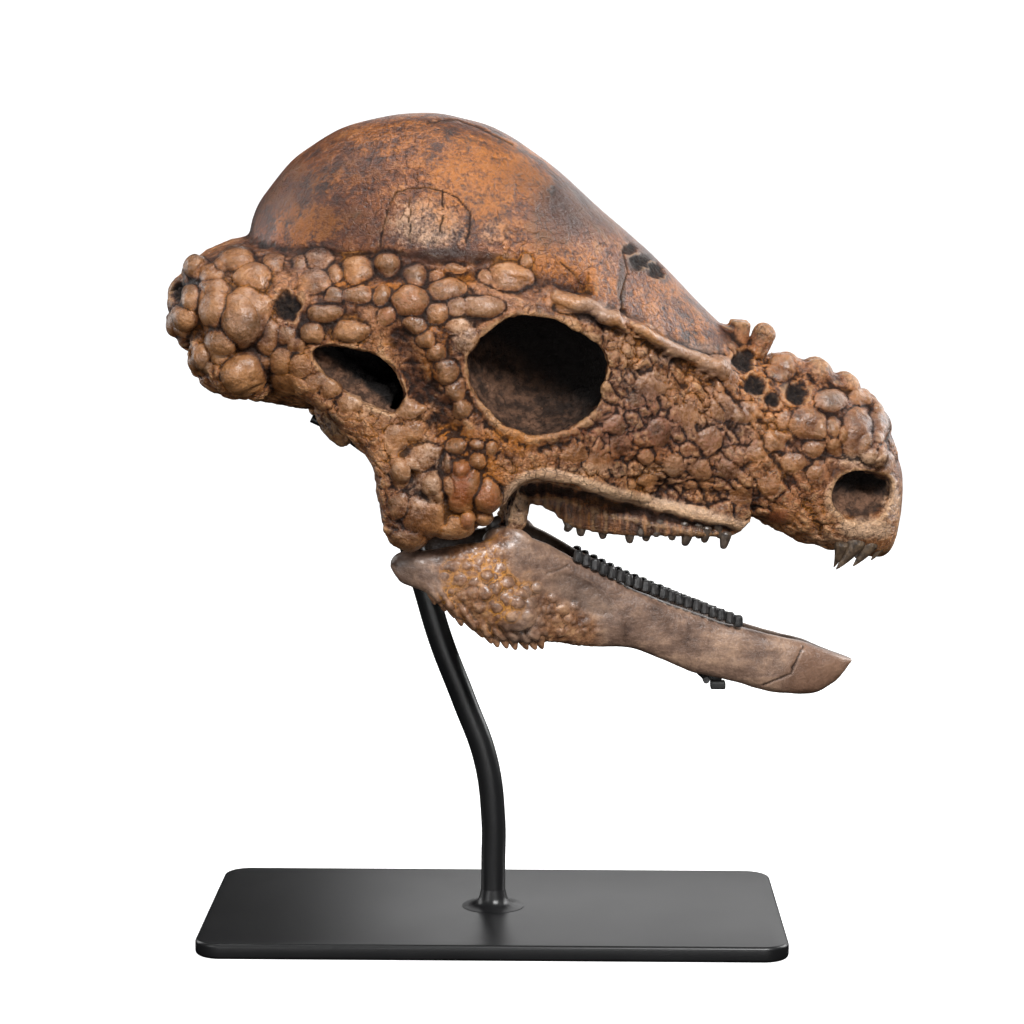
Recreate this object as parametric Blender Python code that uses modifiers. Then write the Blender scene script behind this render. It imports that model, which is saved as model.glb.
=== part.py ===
"""Mounted skull of a dome-headed dinosaur: cranium, lower jaw and black steel stand. Metres, +Z up.

The origin is the centre of the base plate's underside. The snout points along +X and the skull's
left side is +Y. Every bone form is symmetric about the XZ plane. The bones are modelled as one
fused form and then parted with thin cuts.
"""

import math

import bmesh
import bpy
import numpy as np
from mathutils import Matrix, Vector
from mathutils.bvhtree import BVHTree

# ---------------------------------------------------------------- driving dimensions
PLATE_LENGTH = 0.482
PLATE_DEPTH = 0.254
PLATE_THICKNESS = 0.0130
PLATE_CORNER = 0.022
PLATE_EDGE_ROUND = 0.003
ROD_DIAMETER = 0.0205
WIRE_DIAMETER = 0.007
GAP = 0.0003  # air between pieces that touch
CUT = 0.0004  # width of the thin cuts between neighbouring bones
STATION = 0.004  # spacing of the sections in a loft
RING = 40  # points round a section
POCKET_SIDES = 22  # points round an orbit, fenestra or naris
COARSE = (16, 10)  # segments and rings of a rounded form
FINE = (32, 20)
SKULL_VOXEL = 0.0036  # grid on which the bone forms are fused
JAW_VOXEL = 0.0028
SKULL_FACES = 2350
JAW_FACES = 600
RIGHT, LEFT = -1, 1
OUTSIDE = 0.3  # half width that lies clear of every bone

# Side outlines of the bone as (x, z), and half widths as (x, y).
DOME_TOP = [(-0.206, 0.560), (-0.198, 0.598), (-0.186, 0.617), (-0.161, 0.645), (-0.112, 0.671),
            (-0.060, 0.679), (-0.013, 0.671), (0.036, 0.644), (0.086, 0.601), (0.135, 0.558),
            (0.172, 0.520), (0.215, 0.480)]
DOME_WIDTH = [(-0.206, 0.020), (-0.196, 0.062), (-0.170, 0.093), (-0.120, 0.117), (-0.060, 0.124),
              (0.000, 0.119), (0.050, 0.103), (0.100, 0.080), (0.150, 0.058), (0.215, 0.042)]
DOME_WIDEST = [(-0.206, 0.545), (-0.100, 0.548), (0.050, 0.540), (0.120, 0.500), (0.215, 0.450)]

SHELF_TOP = [(-0.262, 0.525), (-0.252, 0.550), (-0.236, 0.567), (-0.200, 0.577), (0.000, 0.566),
             (0.090, 0.528), (0.130, 0.500)]
SHELF_BOTTOM = [(-0.262, 0.508), (-0.254, 0.494), (-0.236, 0.478), (-0.215, 0.457), (-0.190, 0.444),
                (-0.160, 0.438), (-0.120, 0.437), (0.000, 0.405), (0.130, 0.385)]
SHELF_WIDTH = [(-0.262, 0.045), (-0.255, 0.080), (-0.236, 0.112), (-0.200, 0.130), (-0.140, 0.139),
               (-0.060, 0.140), (0.000, 0.135), (0.060, 0.122), (0.130, 0.088)]

SNOUT_TOP = [(0.080, 0.590), (0.135, 0.545), (0.172, 0.508), (0.200, 0.488), (0.235, 0.474),
             (0.285, 0.458), (0.308, 0.443), (0.325, 0.423), (0.338, 0.385)]
SNOUT_BOTTOM = [(0.080, 0.376), (0.134, 0.363), (0.190, 0.352), (0.225, 0.342), (0.250, 0.328),
                (0.284, 0.319), (0.322, 0.313), (0.331, 0.322), (0.338, 0.355)]
SNOUT_WIDTH = [(0.080, 0.110), (0.110, 0.096), (0.140, 0.080), (0.170, 0.067), (0.200, 0.059),
               (0.250, 0.051), (0.300, 0.044), (0.322, 0.034), (0.334, 0.022), (0.338, 0.010)]

CHEEK_TOP = 0.500
CHEEK_BOTTOM = [(-0.155, 0.455), (-0.132, 0.439), (-0.117, 0.423), (-0.103, 0.409), (-0.094, 0.391),
                (-0.090, 0.362), (-0.087, 0.344), (-0.079, 0.334), (-0.069, 0.330), (-0.059, 0.334),
                (-0.050, 0.343), (-0.022, 0.344), (-0.011, 0.349), (0.006, 0.367), (0.020, 0.382),
                (0.038, 0.386), (0.060, 0.380), (0.100, 0.370), (0.150, 0.360)]
CHEEK_MIDDLE = [(-0.155, 0.112), (-0.090, 0.110), (-0.050, 0.108), (0.020, 0.107), (0.070, 0.092),
                (0.150, 0.048)]
CHEEK_HALF = [(-0.155, 0.020), (0.080, 0.020), (0.120, 0.012), (0.150, 0.004)]
CHEEK_LEAN = 0.10

BRAINCASE_BOTTOM = [(-0.150, 0.445), (-0.120, 0.428), (-0.080, 0.408), (-0.030, 0.402), (0.020, 0.398)]
BRAINCASE_WIDTH = [(-0.150, 0.022), (-0.110, 0.040), (-0.050, 0.034), (0.020, 0.030)]
CONDYLE = (-0.140, 0.0, 0.440)
CONDYLE_RADIUS = 0.016

# Rounded forms on each side: centre, radii and pitch about Y, for the skull's left side.
SIDE_FORMS = {
    "flange": ((0.008, 0.058, 0.378), (0.020, 0.008, 0.042), 0.20),
    "corner": ((-0.200, 0.098, 0.490), (0.042, 0.034, 0.040), 0.0),
    "tuber": ((-0.070, 0.020, 0.402), (0.014, 0.012, 0.014), 0.0),
    "process": ((-0.040, 0.026, 0.386), (0.010, 0.009, 0.026), -0.5),
}
PALATE_FORM = ((0.032, 0.0, 0.394), (0.034, 0.056, 0.022), 0.0)
# Hollows: the recessed occiput, the vault of the palate, and the muscle chamber on each side.
OCCIPUT_HOLLOW = ((-0.262, 0.0, 0.440), (0.100, 0.070, 0.068), 0.0)
PALATE_HOLLOW = ((0.120, 0.0, 0.342), (0.095, 0.034, 0.034), 0.10)
CHAMBER_HOLLOW = ((-0.048, 0.066, 0.385), (0.070, 0.027, 0.075), 0.0)

TOOTH_PLATE_BOTTOM = [(0.014, 0.366), (0.036, 0.362), (0.050, 0.355), (0.058, 0.347), (0.075, 0.341),
                      (0.117, 0.336), (0.194, 0.335), (0.202, 0.339), (0.210, 0.350)]
TOOTH_PLATE_MIDDLE = [(0.014, 0.056), (0.044, 0.056), (0.120, 0.050), (0.210, 0.040)]
TOOTH_PLATE_HALF = 0.0085

ORBIT = ((0.036, 0.475), (0.0555, 0.0475))  # centre and radii in side view
ORBIT_DEPTH_FROM_MIDDLE = 0.058
FENESTRA = ((-0.103, 0.472), (0.036, 0.020))
FENESTRA_SLOPE = math.radians(24)
FENESTRA_DEPTH_FROM_MIDDLE = 0.066
NARIS = ((0.302, 0.368), (0.025, 0.0185))
NARIS_DEPTH_FROM_MIDDLE = 0.014

JAW_TOP = [(-0.083, 0.318), (-0.059, 0.327), (-0.011, 0.334), (0.010, 0.339), (0.023, 0.338),
           (0.038, 0.333), (0.065, 0.318), (0.103, 0.298), (0.120, 0.288), (0.160, 0.272),
           (0.200, 0.258), (0.241, 0.247), (0.254, 0.244), (0.275, 0.236), (0.299, 0.227)]
JAW_BOTTOM = [(-0.083, 0.315), (-0.075, 0.303), (-0.051, 0.293), (-0.027, 0.274), (-0.011, 0.262),
              (0.006, 0.254), (0.020, 0.251), (0.044, 0.249), (0.071, 0.245), (0.108, 0.243),
              (0.137, 0.232), (0.170, 0.218), (0.201, 0.210), (0.238, 0.200), (0.263, 0.199),
              (0.280, 0.206), (0.299, 0.225)]
JAW_MIDDLE = [(-0.083, 0.086), (0.000, 0.075), (0.070, 0.050), (0.130, 0.036), (0.200, 0.022),
              (0.250, 0.013), (0.280, 0.008), (0.299, 0.002)]
JAW_HALF = [(-0.083, 0.007), (-0.050, 0.013), (0.000, 0.013), (0.100, 0.0125), (0.200, 0.011),
            (0.250, 0.012), (0.285, 0.009), (0.299, 0.002)]
JAW_FORMS = {
    "boss": ((-0.010, 0.086, 0.296), (0.052, 0.009, 0.022), 0.55),
    "coronoid": ((0.012, 0.070, 0.332), (0.022, 0.007, 0.014), 0.2),
    "joint": ((-0.058, 0.083, 0.317), (0.020, 0.014, 0.012), 0.0),
}
JAW_ROLL = 0.05  # the jaw hangs a little lower on the left, as slope of z over y
FLANGE_SPIKES = [(0.002, 0.254), (0.010, 0.252), (0.018, 0.250), (0.026, 0.249), (0.034, 0.249)]
SPIKE_RADIUS = 0.0035
SPIKE_LENGTH = 0.006

# Rows of knobs: (x, z, radius) in side view, mirrored to the other side.
SHELF_KNOBS = [(-0.181, 0.556, 0.012), (-0.108, 0.530, 0.014), (0.003, 0.550, 0.013)]
CORNER_KNOBS = [(-0.207, 0.512, 0.023), (-0.236, 0.524, 0.017), (-0.211, 0.472, 0.016),
                (-0.231, 0.488, 0.014), (-0.252, 0.508, 0.013), (-0.240, 0.552, 0.013),
                (-0.186, 0.458, 0.012)]
JUGAL_KNOBS = [(-0.050, 0.446, 0.012), (-0.044, 0.385, 0.014), (-0.070, 0.400, 0.013)]
SNOUT_KNOBS = [(0.273, 0.420, 0.015), (0.310, 0.405, 0.017)]
# Pegs on top of the snout: (x, y, z of the tip, radius).
SNOUT_PEGS = [(0.194, 0.013, 0.514, 0.009), (0.2185, 0.012, 0.511, 0.010), (0.241, 0.013, 0.490, 0.011),
              (0.265, 0.012, 0.486, 0.012), (0.289, 0.011, 0.474, 0.011), (0.306, 0.010, 0.458, 0.010)]
# Knobs of the squamosal rim, on the skull's rear face: (y, z, radius).
REAR_KNOBS = [(0.020, 0.540, 0.013), (0.048, 0.535, 0.015), (0.078, 0.528, 0.016), (0.062, 0.508, 0.012),
              (0.092, 0.498, 0.014)]
BROW_RIDGE = [(0.047, 0.534), (0.080, 0.521), (0.112, 0.507), (0.145, 0.488), (0.178, 0.474)]
BROW_RADIUS = 0.006
BROW_END = (0.012, 0.008, 0.009)

LOWER_TEETH = 20
LOWER_TEETH_FROM = (0.0695, 0.3195)
LOWER_TEETH_TO = (0.2005, 0.2600)
LOWER_TEETH_INSET = 0.004
LOWER_TOOTH = (0.0036, 0.0022, 0.014)  # radius at the root and tip, and length
# Upper teeth: (x, z of the tip).
UPPER_TEETH = [(0.059, 0.341), (0.067, 0.337), (0.073, 0.336), (0.081, 0.333), (0.090, 0.331),
               (0.112, 0.326), (0.129, 0.326), (0.138, 0.329), (0.147, 0.328), (0.163, 0.322),
               (0.174, 0.327), (0.183, 0.326), (0.193, 0.321)]
UPPER_TOOTH = (0.0036, 0.0012, 0.018)
# Front teeth: root (x, y, z) and tip (x, y, z).
FRONT_TEETH = [((0.295, 0.030, 0.328), (0.2885, 0.030, 0.300)),
               ((0.308, 0.027, 0.326), (0.301, 0.026, 0.302)),
               ((0.318, 0.021, 0.326), (0.315, 0.020, 0.307))]
FRONT_TOOTH_RADIUS = 0.0070

# The seams between the bones of the cranium, as corners (x, z) in side view.
SEAM = {
    "back": (-0.320, 0.592), "shelf_back": (-0.205, 0.580), "temple_top": (-0.150, 0.570),
    "shelf_middle": (-0.040, 0.558), "brow_back": (0.012, 0.553), "brow": (0.037, 0.549),
    "brow_front": (0.105, 0.517), "ridge": (0.150, 0.496), "nose": (0.182, 0.484),
    "crown": (0.190, 0.750), "far_crown": (-0.320, 0.750), "eye": (0.036, 0.475),
    "temple": (-0.103, 0.473), "temple_back": (-0.150, 0.468), "low_back": (-0.320, 0.280),
    "low_temple": (-0.150, 0.280), "low_cheek": (0.044, 0.280), "cheek": (0.046, 0.400),
    "face": (0.100, 0.446), "face_front": (0.150, 0.432), "nostril": (0.215, 0.424),
    "lip": (0.236, 0.280), "front": (0.400, 0.424), "front_top": (0.400, 0.750),
    "front_low": (0.400, 0.280),
}
BOTH_SIDES = {
    "dome": ["far_crown", "back", "shelf_back", "temple_top", "shelf_middle", "brow_back", "brow",
             "brow_front", "ridge", "nose", "crown"],
    "nasal": ["ridge", "nose", "crown", "front_top", "front", "nostril", "face_front"],
    "premaxilla": ["nostril", "front", "front_low", "lip"],
}
EACH_SIDE = {
    "squamosal": ["back", "shelf_back", "temple_top", "temple_back", "low_temple", "low_back"],
    "postorbital": ["temple_top", "shelf_middle", "brow_back", "eye", "temple", "temple_back"],
    "jugal": ["temple_back", "temple", "eye", "cheek", "low_cheek", "low_temple"],
    "lacrimal": ["eye", "brow_back", "brow", "brow_front", "ridge", "face_front", "face"],
    "maxilla": ["eye", "face", "face_front", "nostril", "lip", "low_cheek", "cheek"],
}
BRAINCASE_BOX = ((-0.320, -0.048, 0.280), (0.030, 0.048, 0.522))
JAW_SUTURE = [(0.040, 0.400), (0.060, 0.200)]  # between the dentary and the rear bones
CHIN_SUTURE = [(0.262, 0.300), (0.236, 0.180)]  # between the dentary and the predentary

ROD_ROUTE = [(-0.001, 0.0133), (-0.001, 0.050), (-0.001, 0.087), (-0.0075, 0.1385), (-0.026, 0.190),
             (-0.0455, 0.241), (-0.060, 0.290), (-0.078, 0.345), (-0.094, 0.395), (-0.102, 0.425)]
WELD = ((0.0270, 0.000), (0.0180, 0.002), (0.0125, 0.006), (0.0100, 0.014))
WELD_AT = (-0.001, 0.0133)
PRONG = [(-0.093, 0.004, 0.392), (-0.106, 0.020, 0.402), (-0.128, 0.032, 0.419), (-0.150, 0.034, 0.430)]
ARM = [(-0.058, 0.0, 0.285), (0.000, 0.0, 0.280), (0.100, 0.0, 0.256), (0.150, 0.0, 0.234),
       (0.176, 0.0, 0.212)]
BAR_END = (0.176, 0.026)
BAR_DIAMETER = 0.0055
BAR_CLEARANCE = 0.0012
PAD = (0.0125, 0.012, 0.0065)
PAD_AT = (0.1855, 0.0265)

COLOURS = {"dome": (0.30, 0.14, 0.06), "squamosal": (0.26, 0.17, 0.09), "postorbital": (0.27, 0.18, 0.10),
           "jugal": (0.24, 0.15, 0.09), "lacrimal": (0.26, 0.18, 0.11), "maxilla": (0.22, 0.14, 0.10),
           "nasal": (0.31, 0.17, 0.10), "premaxilla": (0.34, 0.24, 0.16), "braincase": (0.16, 0.10, 0.07),
           "dentary": (0.20, 0.14, 0.11), "surangular": (0.26, 0.17, 0.09), "predentary": (0.25, 0.14, 0.10),
           "stand": (0.02, 0.02, 0.02)}


# ---------------------------------------------------------------- helpers
def curve(points):
    """A smooth function through the points that doesn't overshoot them."""
    x, y = np.array(points, float).T
    step = np.diff(y) / np.diff(x)
    slope = np.zeros_like(y)
    slope[0], slope[-1] = step[0], step[-1]
    same = step[:-1] * step[1:] > 0
    slope[1:-1][same] = 2 * (step[:-1] * step[1:])[same] / (step[:-1] + step[1:])[same]

    def value(at):
        at = min(max(at, x[0]), x[-1])
        k = min(max(int(np.searchsorted(x, at)) - 1, 0), len(x) - 2)
        h = x[k + 1] - x[k]
        t = (at - x[k]) / h
        return float(y[k] * (1 + 2 * t) * (1 - t) ** 2 + y[k + 1] * t * t * (3 - 2 * t)
                     + h * (slope[k] * t * (1 - t) ** 2 - slope[k + 1] * t * t * (1 - t)))

    return value


def section(centre_y, widest_z, top_z, bottom_z, half_width, power=2.0, lean=0.0):
    """Ring of (y, z) points: an oval that is squarer for a higher power, and leans with height."""
    ring = []
    for k in range(RING):
        a = 2 * math.pi * k / RING
        c, s = math.cos(a), math.sin(a)
        y = math.copysign(abs(c) ** (2 / power), c) * half_width
        z = math.copysign(abs(s) ** (2 / power), s)
        z *= (top_z - widest_z) if z > 0 else (widest_z - bottom_z)
        ring.append((centre_y + y + lean * z, widest_z + z))
    return ring


def link(obj, collection="work"):
    if collection not in bpy.data.collections:
        bpy.context.scene.collection.children.link(bpy.data.collections.new(collection))
    bpy.data.collections[collection].objects.link(obj)
    return obj


def from_bmesh(name, bm, collection="work"):
    bmesh.ops.recalc_face_normals(bm, faces=bm.faces[:])
    mesh = bpy.data.meshes.new(name)
    bm.to_mesh(mesh)
    bm.free()
    return link(bpy.data.objects.new(name, mesh), collection)


def loft(name, x_from, x_to, section_at):
    """Closed skin over the sections from x_from to x_to."""
    bm = bmesh.new()
    count = max(3, round((x_to - x_from) / STATION) + 1)
    rings = []
    for x in np.linspace(x_from, x_to, count):
        rings.append([bm.verts.new((x, y, z)) for y, z in section_at(float(x))])
    for a, b in zip(rings, rings[1:]):
        for k in range(RING):
            bm.faces.new((a[k], a[(k + 1) % RING], b[(k + 1) % RING], b[k]))
    bm.faces.new(rings[0])
    bm.faces.new(rings[-1])
    return from_bmesh(name, bm)


def ellipsoid(name, centre, radii, pitch=0.0, detail=COARSE):
    bm = bmesh.new()
    place = Matrix.Translation(centre) @ Matrix.Rotation(pitch, 4, "Y") @ Matrix.Diagonal((*radii, 1))
    bmesh.ops.create_uvsphere(bm, u_segments=detail[0], v_segments=detail[1], radius=1, matrix=place)
    return from_bmesh(name, bm)


def placed_form(name, form, side=1, detail=COARSE):
    (x, y, z), radii, pitch = form
    return ellipsoid(name, (x, side * y, z), radii, pitch, detail)


def tube(name, points, diameter, sides=1, steps=2):
    """Round rod with filled ends along a smooth line, as a mesh."""
    data = bpy.data.curves.new(name, "CURVE")
    data.dimensions = "3D"
    data.bevel_depth = diameter / 2
    data.bevel_resolution = sides
    data.use_fill_caps = True
    data.resolution_u = steps
    spline = data.splines.new("BEZIER")
    spline.bezier_points.add(len(points) - 1)
    for point, place in zip(spline.bezier_points, points):
        point.co = place
        point.handle_left_type = point.handle_right_type = "AUTO"
    return settle(link(bpy.data.objects.new(name, data)))


def settle(obj):
    """The object with its modifiers applied, as a welded mesh."""
    bpy.context.view_layer.update()
    mesh = bpy.data.meshes.new_from_object(obj.evaluated_get(bpy.context.evaluated_depsgraph_get()))
    bm = bmesh.new()
    bm.from_mesh(mesh)
    bmesh.ops.remove_doubles(bm, verts=bm.verts, dist=0.00001)
    bmesh.ops.transform(bm, matrix=obj.matrix_world, verts=bm.verts)
    bm.to_mesh(mesh)
    bm.free()
    name, collection = obj.name, obj.users_collection[0].name
    bpy.data.objects.remove(obj)
    return link(bpy.data.objects.new(name, mesh), collection)


def join(name, objects):
    bm = bmesh.new()
    for obj in objects:
        bm.from_mesh(obj.data)
        bpy.data.objects.remove(obj)
    return from_bmesh(name, bm)


def fuse(name, objects, voxel, smooth):
    """Closed forms melted into one skin."""
    obj = join(name, objects)
    remesh = obj.modifiers.new("fuse", "REMESH")
    remesh.mode = "VOXEL"
    remesh.voxel_size = voxel
    soften = obj.modifiers.new("soften", "SMOOTH")
    soften.factor = 0.5
    soften.iterations = smooth
    return settle(obj)


def boolean(obj, cutter, operation):
    change = obj.modifiers.new(operation.lower(), "BOOLEAN")
    change.operation = operation
    change.object = cutter
    change.solver = "EXACT"
    done = settle(obj)
    bpy.data.objects.remove(cutter)
    return done


def thin(obj, faces):
    """Fewer faces, the same on both sides."""
    fewer = obj.modifiers.new("thin", "DECIMATE")
    fewer.ratio = faces / sum(len(p.vertices) - 2 for p in obj.data.polygons)
    fewer.use_collapse_triangulate = True
    return settle(obj)


def tree_of(obj):
    bm = bmesh.new()
    bm.from_mesh(obj.data)
    tree = BVHTree.FromBMesh(bm)
    bm.free()
    return tree


def bump(tree, start, way, radius, proud):
    """A knob where the ray meets the skin, standing out by a share of its radius."""
    hit, normal, _, _ = tree.ray_cast(Vector(start), Vector(way))
    return ellipsoid("knob", hit - normal * radius * (1 - proud), (radius,) * 3)


# ---------------------------------------------------------------- cranium
def cranium_base():
    top, width, widest = curve(DOME_TOP), curve(DOME_WIDTH), curve(DOME_WIDEST)
    forms = [loft("dome_form", -0.206, 0.215,
                  lambda x: section(0, widest(x), top(x), widest(x) - 0.04, width(x), 2.1))]
    shelf_top, shelf_bottom, shelf_width = curve(SHELF_TOP), curve(SHELF_BOTTOM), curve(SHELF_WIDTH)
    forms.append(loft("shelf_form", -0.262, 0.130,
                      lambda x: section(0, 0.515, shelf_top(x), shelf_bottom(x), shelf_width(x), 2.7)))
    snout_top, snout_bottom, snout_width = curve(SNOUT_TOP), curve(SNOUT_BOTTOM), curve(SNOUT_WIDTH)
    forms.append(loft("snout_form", 0.080, 0.338,
                      lambda x: section(0, 0.58 * snout_bottom(x) + 0.42 * snout_top(x), snout_top(x),
                                        snout_bottom(x), snout_width(x), 2.5)))
    case_bottom, case_width = curve(BRAINCASE_BOTTOM), curve(BRAINCASE_WIDTH)
    forms.append(loft("braincase_form", -0.150, 0.020,
                      lambda x: section(0, 0.45, 0.50, case_bottom(x), case_width(x), 2.6)))
    forms.append(placed_form("palate", PALATE_FORM))
    for side in (RIGHT, LEFT):
        forms.append(cheek(side))
        forms += [placed_form(name, form, side) for name, form in SIDE_FORMS.items()]
    return forms


def cheek(side):
    bottom, middle, half = curve(CHEEK_BOTTOM), curve(CHEEK_MIDDLE), curve(CHEEK_HALF)
    return loft("cheek_form", -0.155, 0.150,
                lambda x: section(side * middle(x), 0.5 * (bottom(x) + CHEEK_TOP), CHEEK_TOP, bottom(x),
                                  half(x), 3.2, side * CHEEK_LEAN))


def cranium_hollows(obj):
    cutters = [placed_form("occiput", OCCIPUT_HOLLOW, LEFT, FINE)]
    cutters.append(placed_form("palate", PALATE_HOLLOW, LEFT, FINE))
    cutters += [placed_form("chamber", CHAMBER_HOLLOW, side, FINE) for side in (RIGHT, LEFT)]
    for cutter in cutters:
        obj = boolean(obj, cutter, "DIFFERENCE")
    return obj


def cranium_details(base):
    """Everything that stands out of the smooth bone: knobs, pegs, ridges, tooth plates and condyle."""
    tree = tree_of(base)
    rows = ((SHELF_KNOBS, 0.55), (CORNER_KNOBS, 0.60), (JUGAL_KNOBS, 0.45), (SNOUT_KNOBS, 0.45))
    forms = [ellipsoid("condyle", CONDYLE, (CONDYLE_RADIUS,) * 3)]
    plate_bottom, plate_middle = curve(TOOTH_PLATE_BOTTOM), curve(TOOTH_PLATE_MIDDLE)
    for side in (RIGHT, LEFT):
        inward = Vector((0, -side, 0))
        for row, proud in rows:
            forms += [bump(tree, (x, side * OUTSIDE, z), inward, radius, proud) for x, z, radius in row]
        for x, y, z, radius in SNOUT_PEGS:
            forms.append(ellipsoid("peg", (x, side * y, z - 0.016), (radius, radius * 0.8, 0.016)))
        for y, z, radius in REAR_KNOBS:
            forms.append(bump(tree, (-2 * OUTSIDE, side * y, z), (1, 0, 0), radius, 0.5))
        ridge = [tree.ray_cast(Vector((x, side * OUTSIDE, z)), inward)[0] for x, z in BROW_RIDGE]
        forms.append(tube("ridge", ridge, BROW_RADIUS * 2, 3, 6))
        forms.append(ellipsoid("ridge_end", ridge[-1], BROW_END, 0.5))
        forms.append(loft("tooth_plate", 0.014, 0.210,
                          lambda x: section(side * plate_middle(x), 0.365, 0.392, plate_bottom(x),
                                            TOOTH_PLATE_HALF, 3.0)))
    return forms


def side_pocket(name, side, shape, depth_from_middle, slope=0.0):
    """Rounded pocket that opens on one side of the skull."""
    (x, z), (rx, rz) = shape
    mouth = 0.17
    bm = bmesh.new()
    rings = []
    for share, size in ((0, 0.74), (0.15, 0.90), (1, 1.0)):
        y = side * (depth_from_middle + (mouth - depth_from_middle) * share)
        ring = []
        for k in range(POCKET_SIDES):
            a = 2 * math.pi * k / POCKET_SIDES
            u, v = rx * size * math.cos(a), rz * size * math.sin(a)
            ring.append(bm.verts.new((x + u * math.cos(slope) + v * math.sin(slope), y,
                                      z - u * math.sin(slope) + v * math.cos(slope))))
        rings.append(ring)
    for a, b in zip(rings, rings[1:]):
        for k in range(POCKET_SIDES):
            bm.faces.new((a[k], a[(k + 1) % POCKET_SIDES], b[(k + 1) % POCKET_SIDES], b[k]))
    bm.faces.new(rings[0])
    bm.faces.new(rings[-1])
    return from_bmesh(name, bm)


def cranium():
    base = fuse("cranium", cranium_base(), SKULL_VOXEL, 4)
    base = cranium_hollows(base)
    details = cranium_details(base)
    skull = fuse("cranium", [base] + details, SKULL_VOXEL, 1)
    skull = thin(skull, SKULL_FACES)
    for side in (RIGHT, LEFT):
        skull = boolean(skull, side_pocket("orbit", side, ORBIT, ORBIT_DEPTH_FROM_MIDDLE), "DIFFERENCE")
        skull = boolean(skull, side_pocket("fenestra", side, FENESTRA, FENESTRA_DEPTH_FROM_MIDDLE,
                                           FENESTRA_SLOPE), "DIFFERENCE")
        skull = boolean(skull, side_pocket("naris", side, NARIS, NARIS_DEPTH_FROM_MIDDLE), "DIFFERENCE")
    return skull


# ---------------------------------------------------------------- parting
def prism(name, corners, y_from, y_to):
    """Upright slab with the given outline in side view, drawn in by half a cut all round."""
    points = [Vector(c) for c in corners]
    if sum(a.x * b.y - b.x * a.y for a, b in zip(points, points[1:] + points[:1])) < 0:
        points.reverse()
    drawn = []
    for k, point in enumerate(points):
        before = (point - points[k - 1]).normalized()
        after = (points[(k + 1) % len(points)] - point).normalized()
        inward = Vector((-before.y, before.x)) + Vector((-after.y, after.x))
        drawn.append(point + inward * (CUT / (1 + before.dot(after)) / 2))
    bm = bmesh.new()
    near = [bm.verts.new((p.x, y_from, p.y)) for p in drawn]
    far = [bm.verts.new((p.x, y_to, p.y)) for p in drawn]
    bm.faces.new(near)
    bm.faces.new(far)
    for k in range(len(drawn)):
        n = (k + 1) % len(drawn)
        bm.faces.new((near[k], near[n], far[n], far[k]))
    return from_bmesh(name, bm, "cutters")


def box(name, low, high, grow=0.0):
    bm = bmesh.new()
    low, high = Vector(low) - Vector((grow,) * 3), Vector(high) + Vector((grow,) * 3)
    place = Matrix.Translation((low + high) / 2) @ Matrix.Diagonal((*(high - low), 1))
    bmesh.ops.create_cube(bm, size=1, matrix=place)
    return from_bmesh(name, bm, "cutters")


def copy_of(obj, name):
    return link(bpy.data.objects.new(name, obj.data.copy()))


def main_body(obj):
    """Drops the crumbs that a cut leaves, and keeps the largest body."""
    bm = bmesh.new()
    bm.from_mesh(obj.data)
    bmesh.ops.remove_doubles(bm, verts=bm.verts, dist=0.00001)
    bmesh.ops.dissolve_degenerate(bm, edges=bm.edges, dist=0.00001)
    left, bodies = set(bm.verts), []
    while left:
        body, edge_of = set(), [left.pop()]
        while edge_of:
            vert = edge_of.pop()
            body.add(vert)
            for edge in vert.link_edges:
                other = edge.other_vert(vert)
                if other in left:
                    left.discard(other)
                    edge_of.append(other)
        bodies.append(body)
    bodies.sort(key=len)
    bmesh.ops.delete(bm, geom=[v for body in bodies[:-1] for v in body], context="VERTS")
    bmesh.ops.triangulate(bm, faces=bm.faces[:])
    bm.to_mesh(obj.data)
    bm.free()
    return obj


def part_between(whole, name, cutter):
    return main_body(boolean(copy_of(whole, name), cutter, "INTERSECT"))


def part_cranium(skull):
    low, high = BRAINCASE_BOX
    bones = {"braincase": part_between(skull, "braincase", box("box", low, high))}
    rest = boolean(skull, box("box", low, high, CUT), "DIFFERENCE")
    for name, corners in BOTH_SIDES.items():
        bones[name] = part_between(rest, name, prism("tile", [SEAM[c] for c in corners], -0.25, 0.25))
    for name, corners in EACH_SIDE.items():
        for side, word in ((RIGHT, "right"), (LEFT, "left")):
            span = sorted((side * CUT / 2, side * 0.25))
            tile = prism("tile", [SEAM[c] for c in corners], *span)
            bones[f"{name}_{word}"] = part_between(rest, f"{name}_{word}", tile)
    bpy.data.objects.remove(rest)
    return bones


# ---------------------------------------------------------------- teeth
def spike(root, tip, radius, tip_radius, sides=4):
    """Cone or peg from root to tip."""
    root, tip = Vector(root), Vector(tip)
    way = tip - root
    bm = bmesh.new()
    place = Matrix.Translation((root + tip) / 2) @ way.to_track_quat("Z", "Y").to_matrix().to_4x4()
    bmesh.ops.create_cone(bm, cap_ends=True, segments=sides, radius1=radius, radius2=tip_radius,
                          depth=way.length, matrix=place)
    return from_bmesh("spike", bm)


def add(obj, pieces):
    """The bone with what grows from it, as one body."""
    for piece in pieces:
        obj = boolean(obj, piece, "UNION")
    return main_body(obj)


def upper_teeth(side):
    middle = curve(TOOTH_PLATE_MIDDLE)
    radius, tip_radius, length = UPPER_TOOTH
    return [spike((x, side * middle(x), z + length), (x, side * middle(x), z), radius, tip_radius)
            for x, z in UPPER_TEETH]


def front_teeth():
    return [spike((a, side * b, c), (d, side * e, f), FRONT_TOOTH_RADIUS, 0.0006)
            for side in (RIGHT, LEFT) for (a, b, c), (d, e, f) in FRONT_TEETH]


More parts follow.
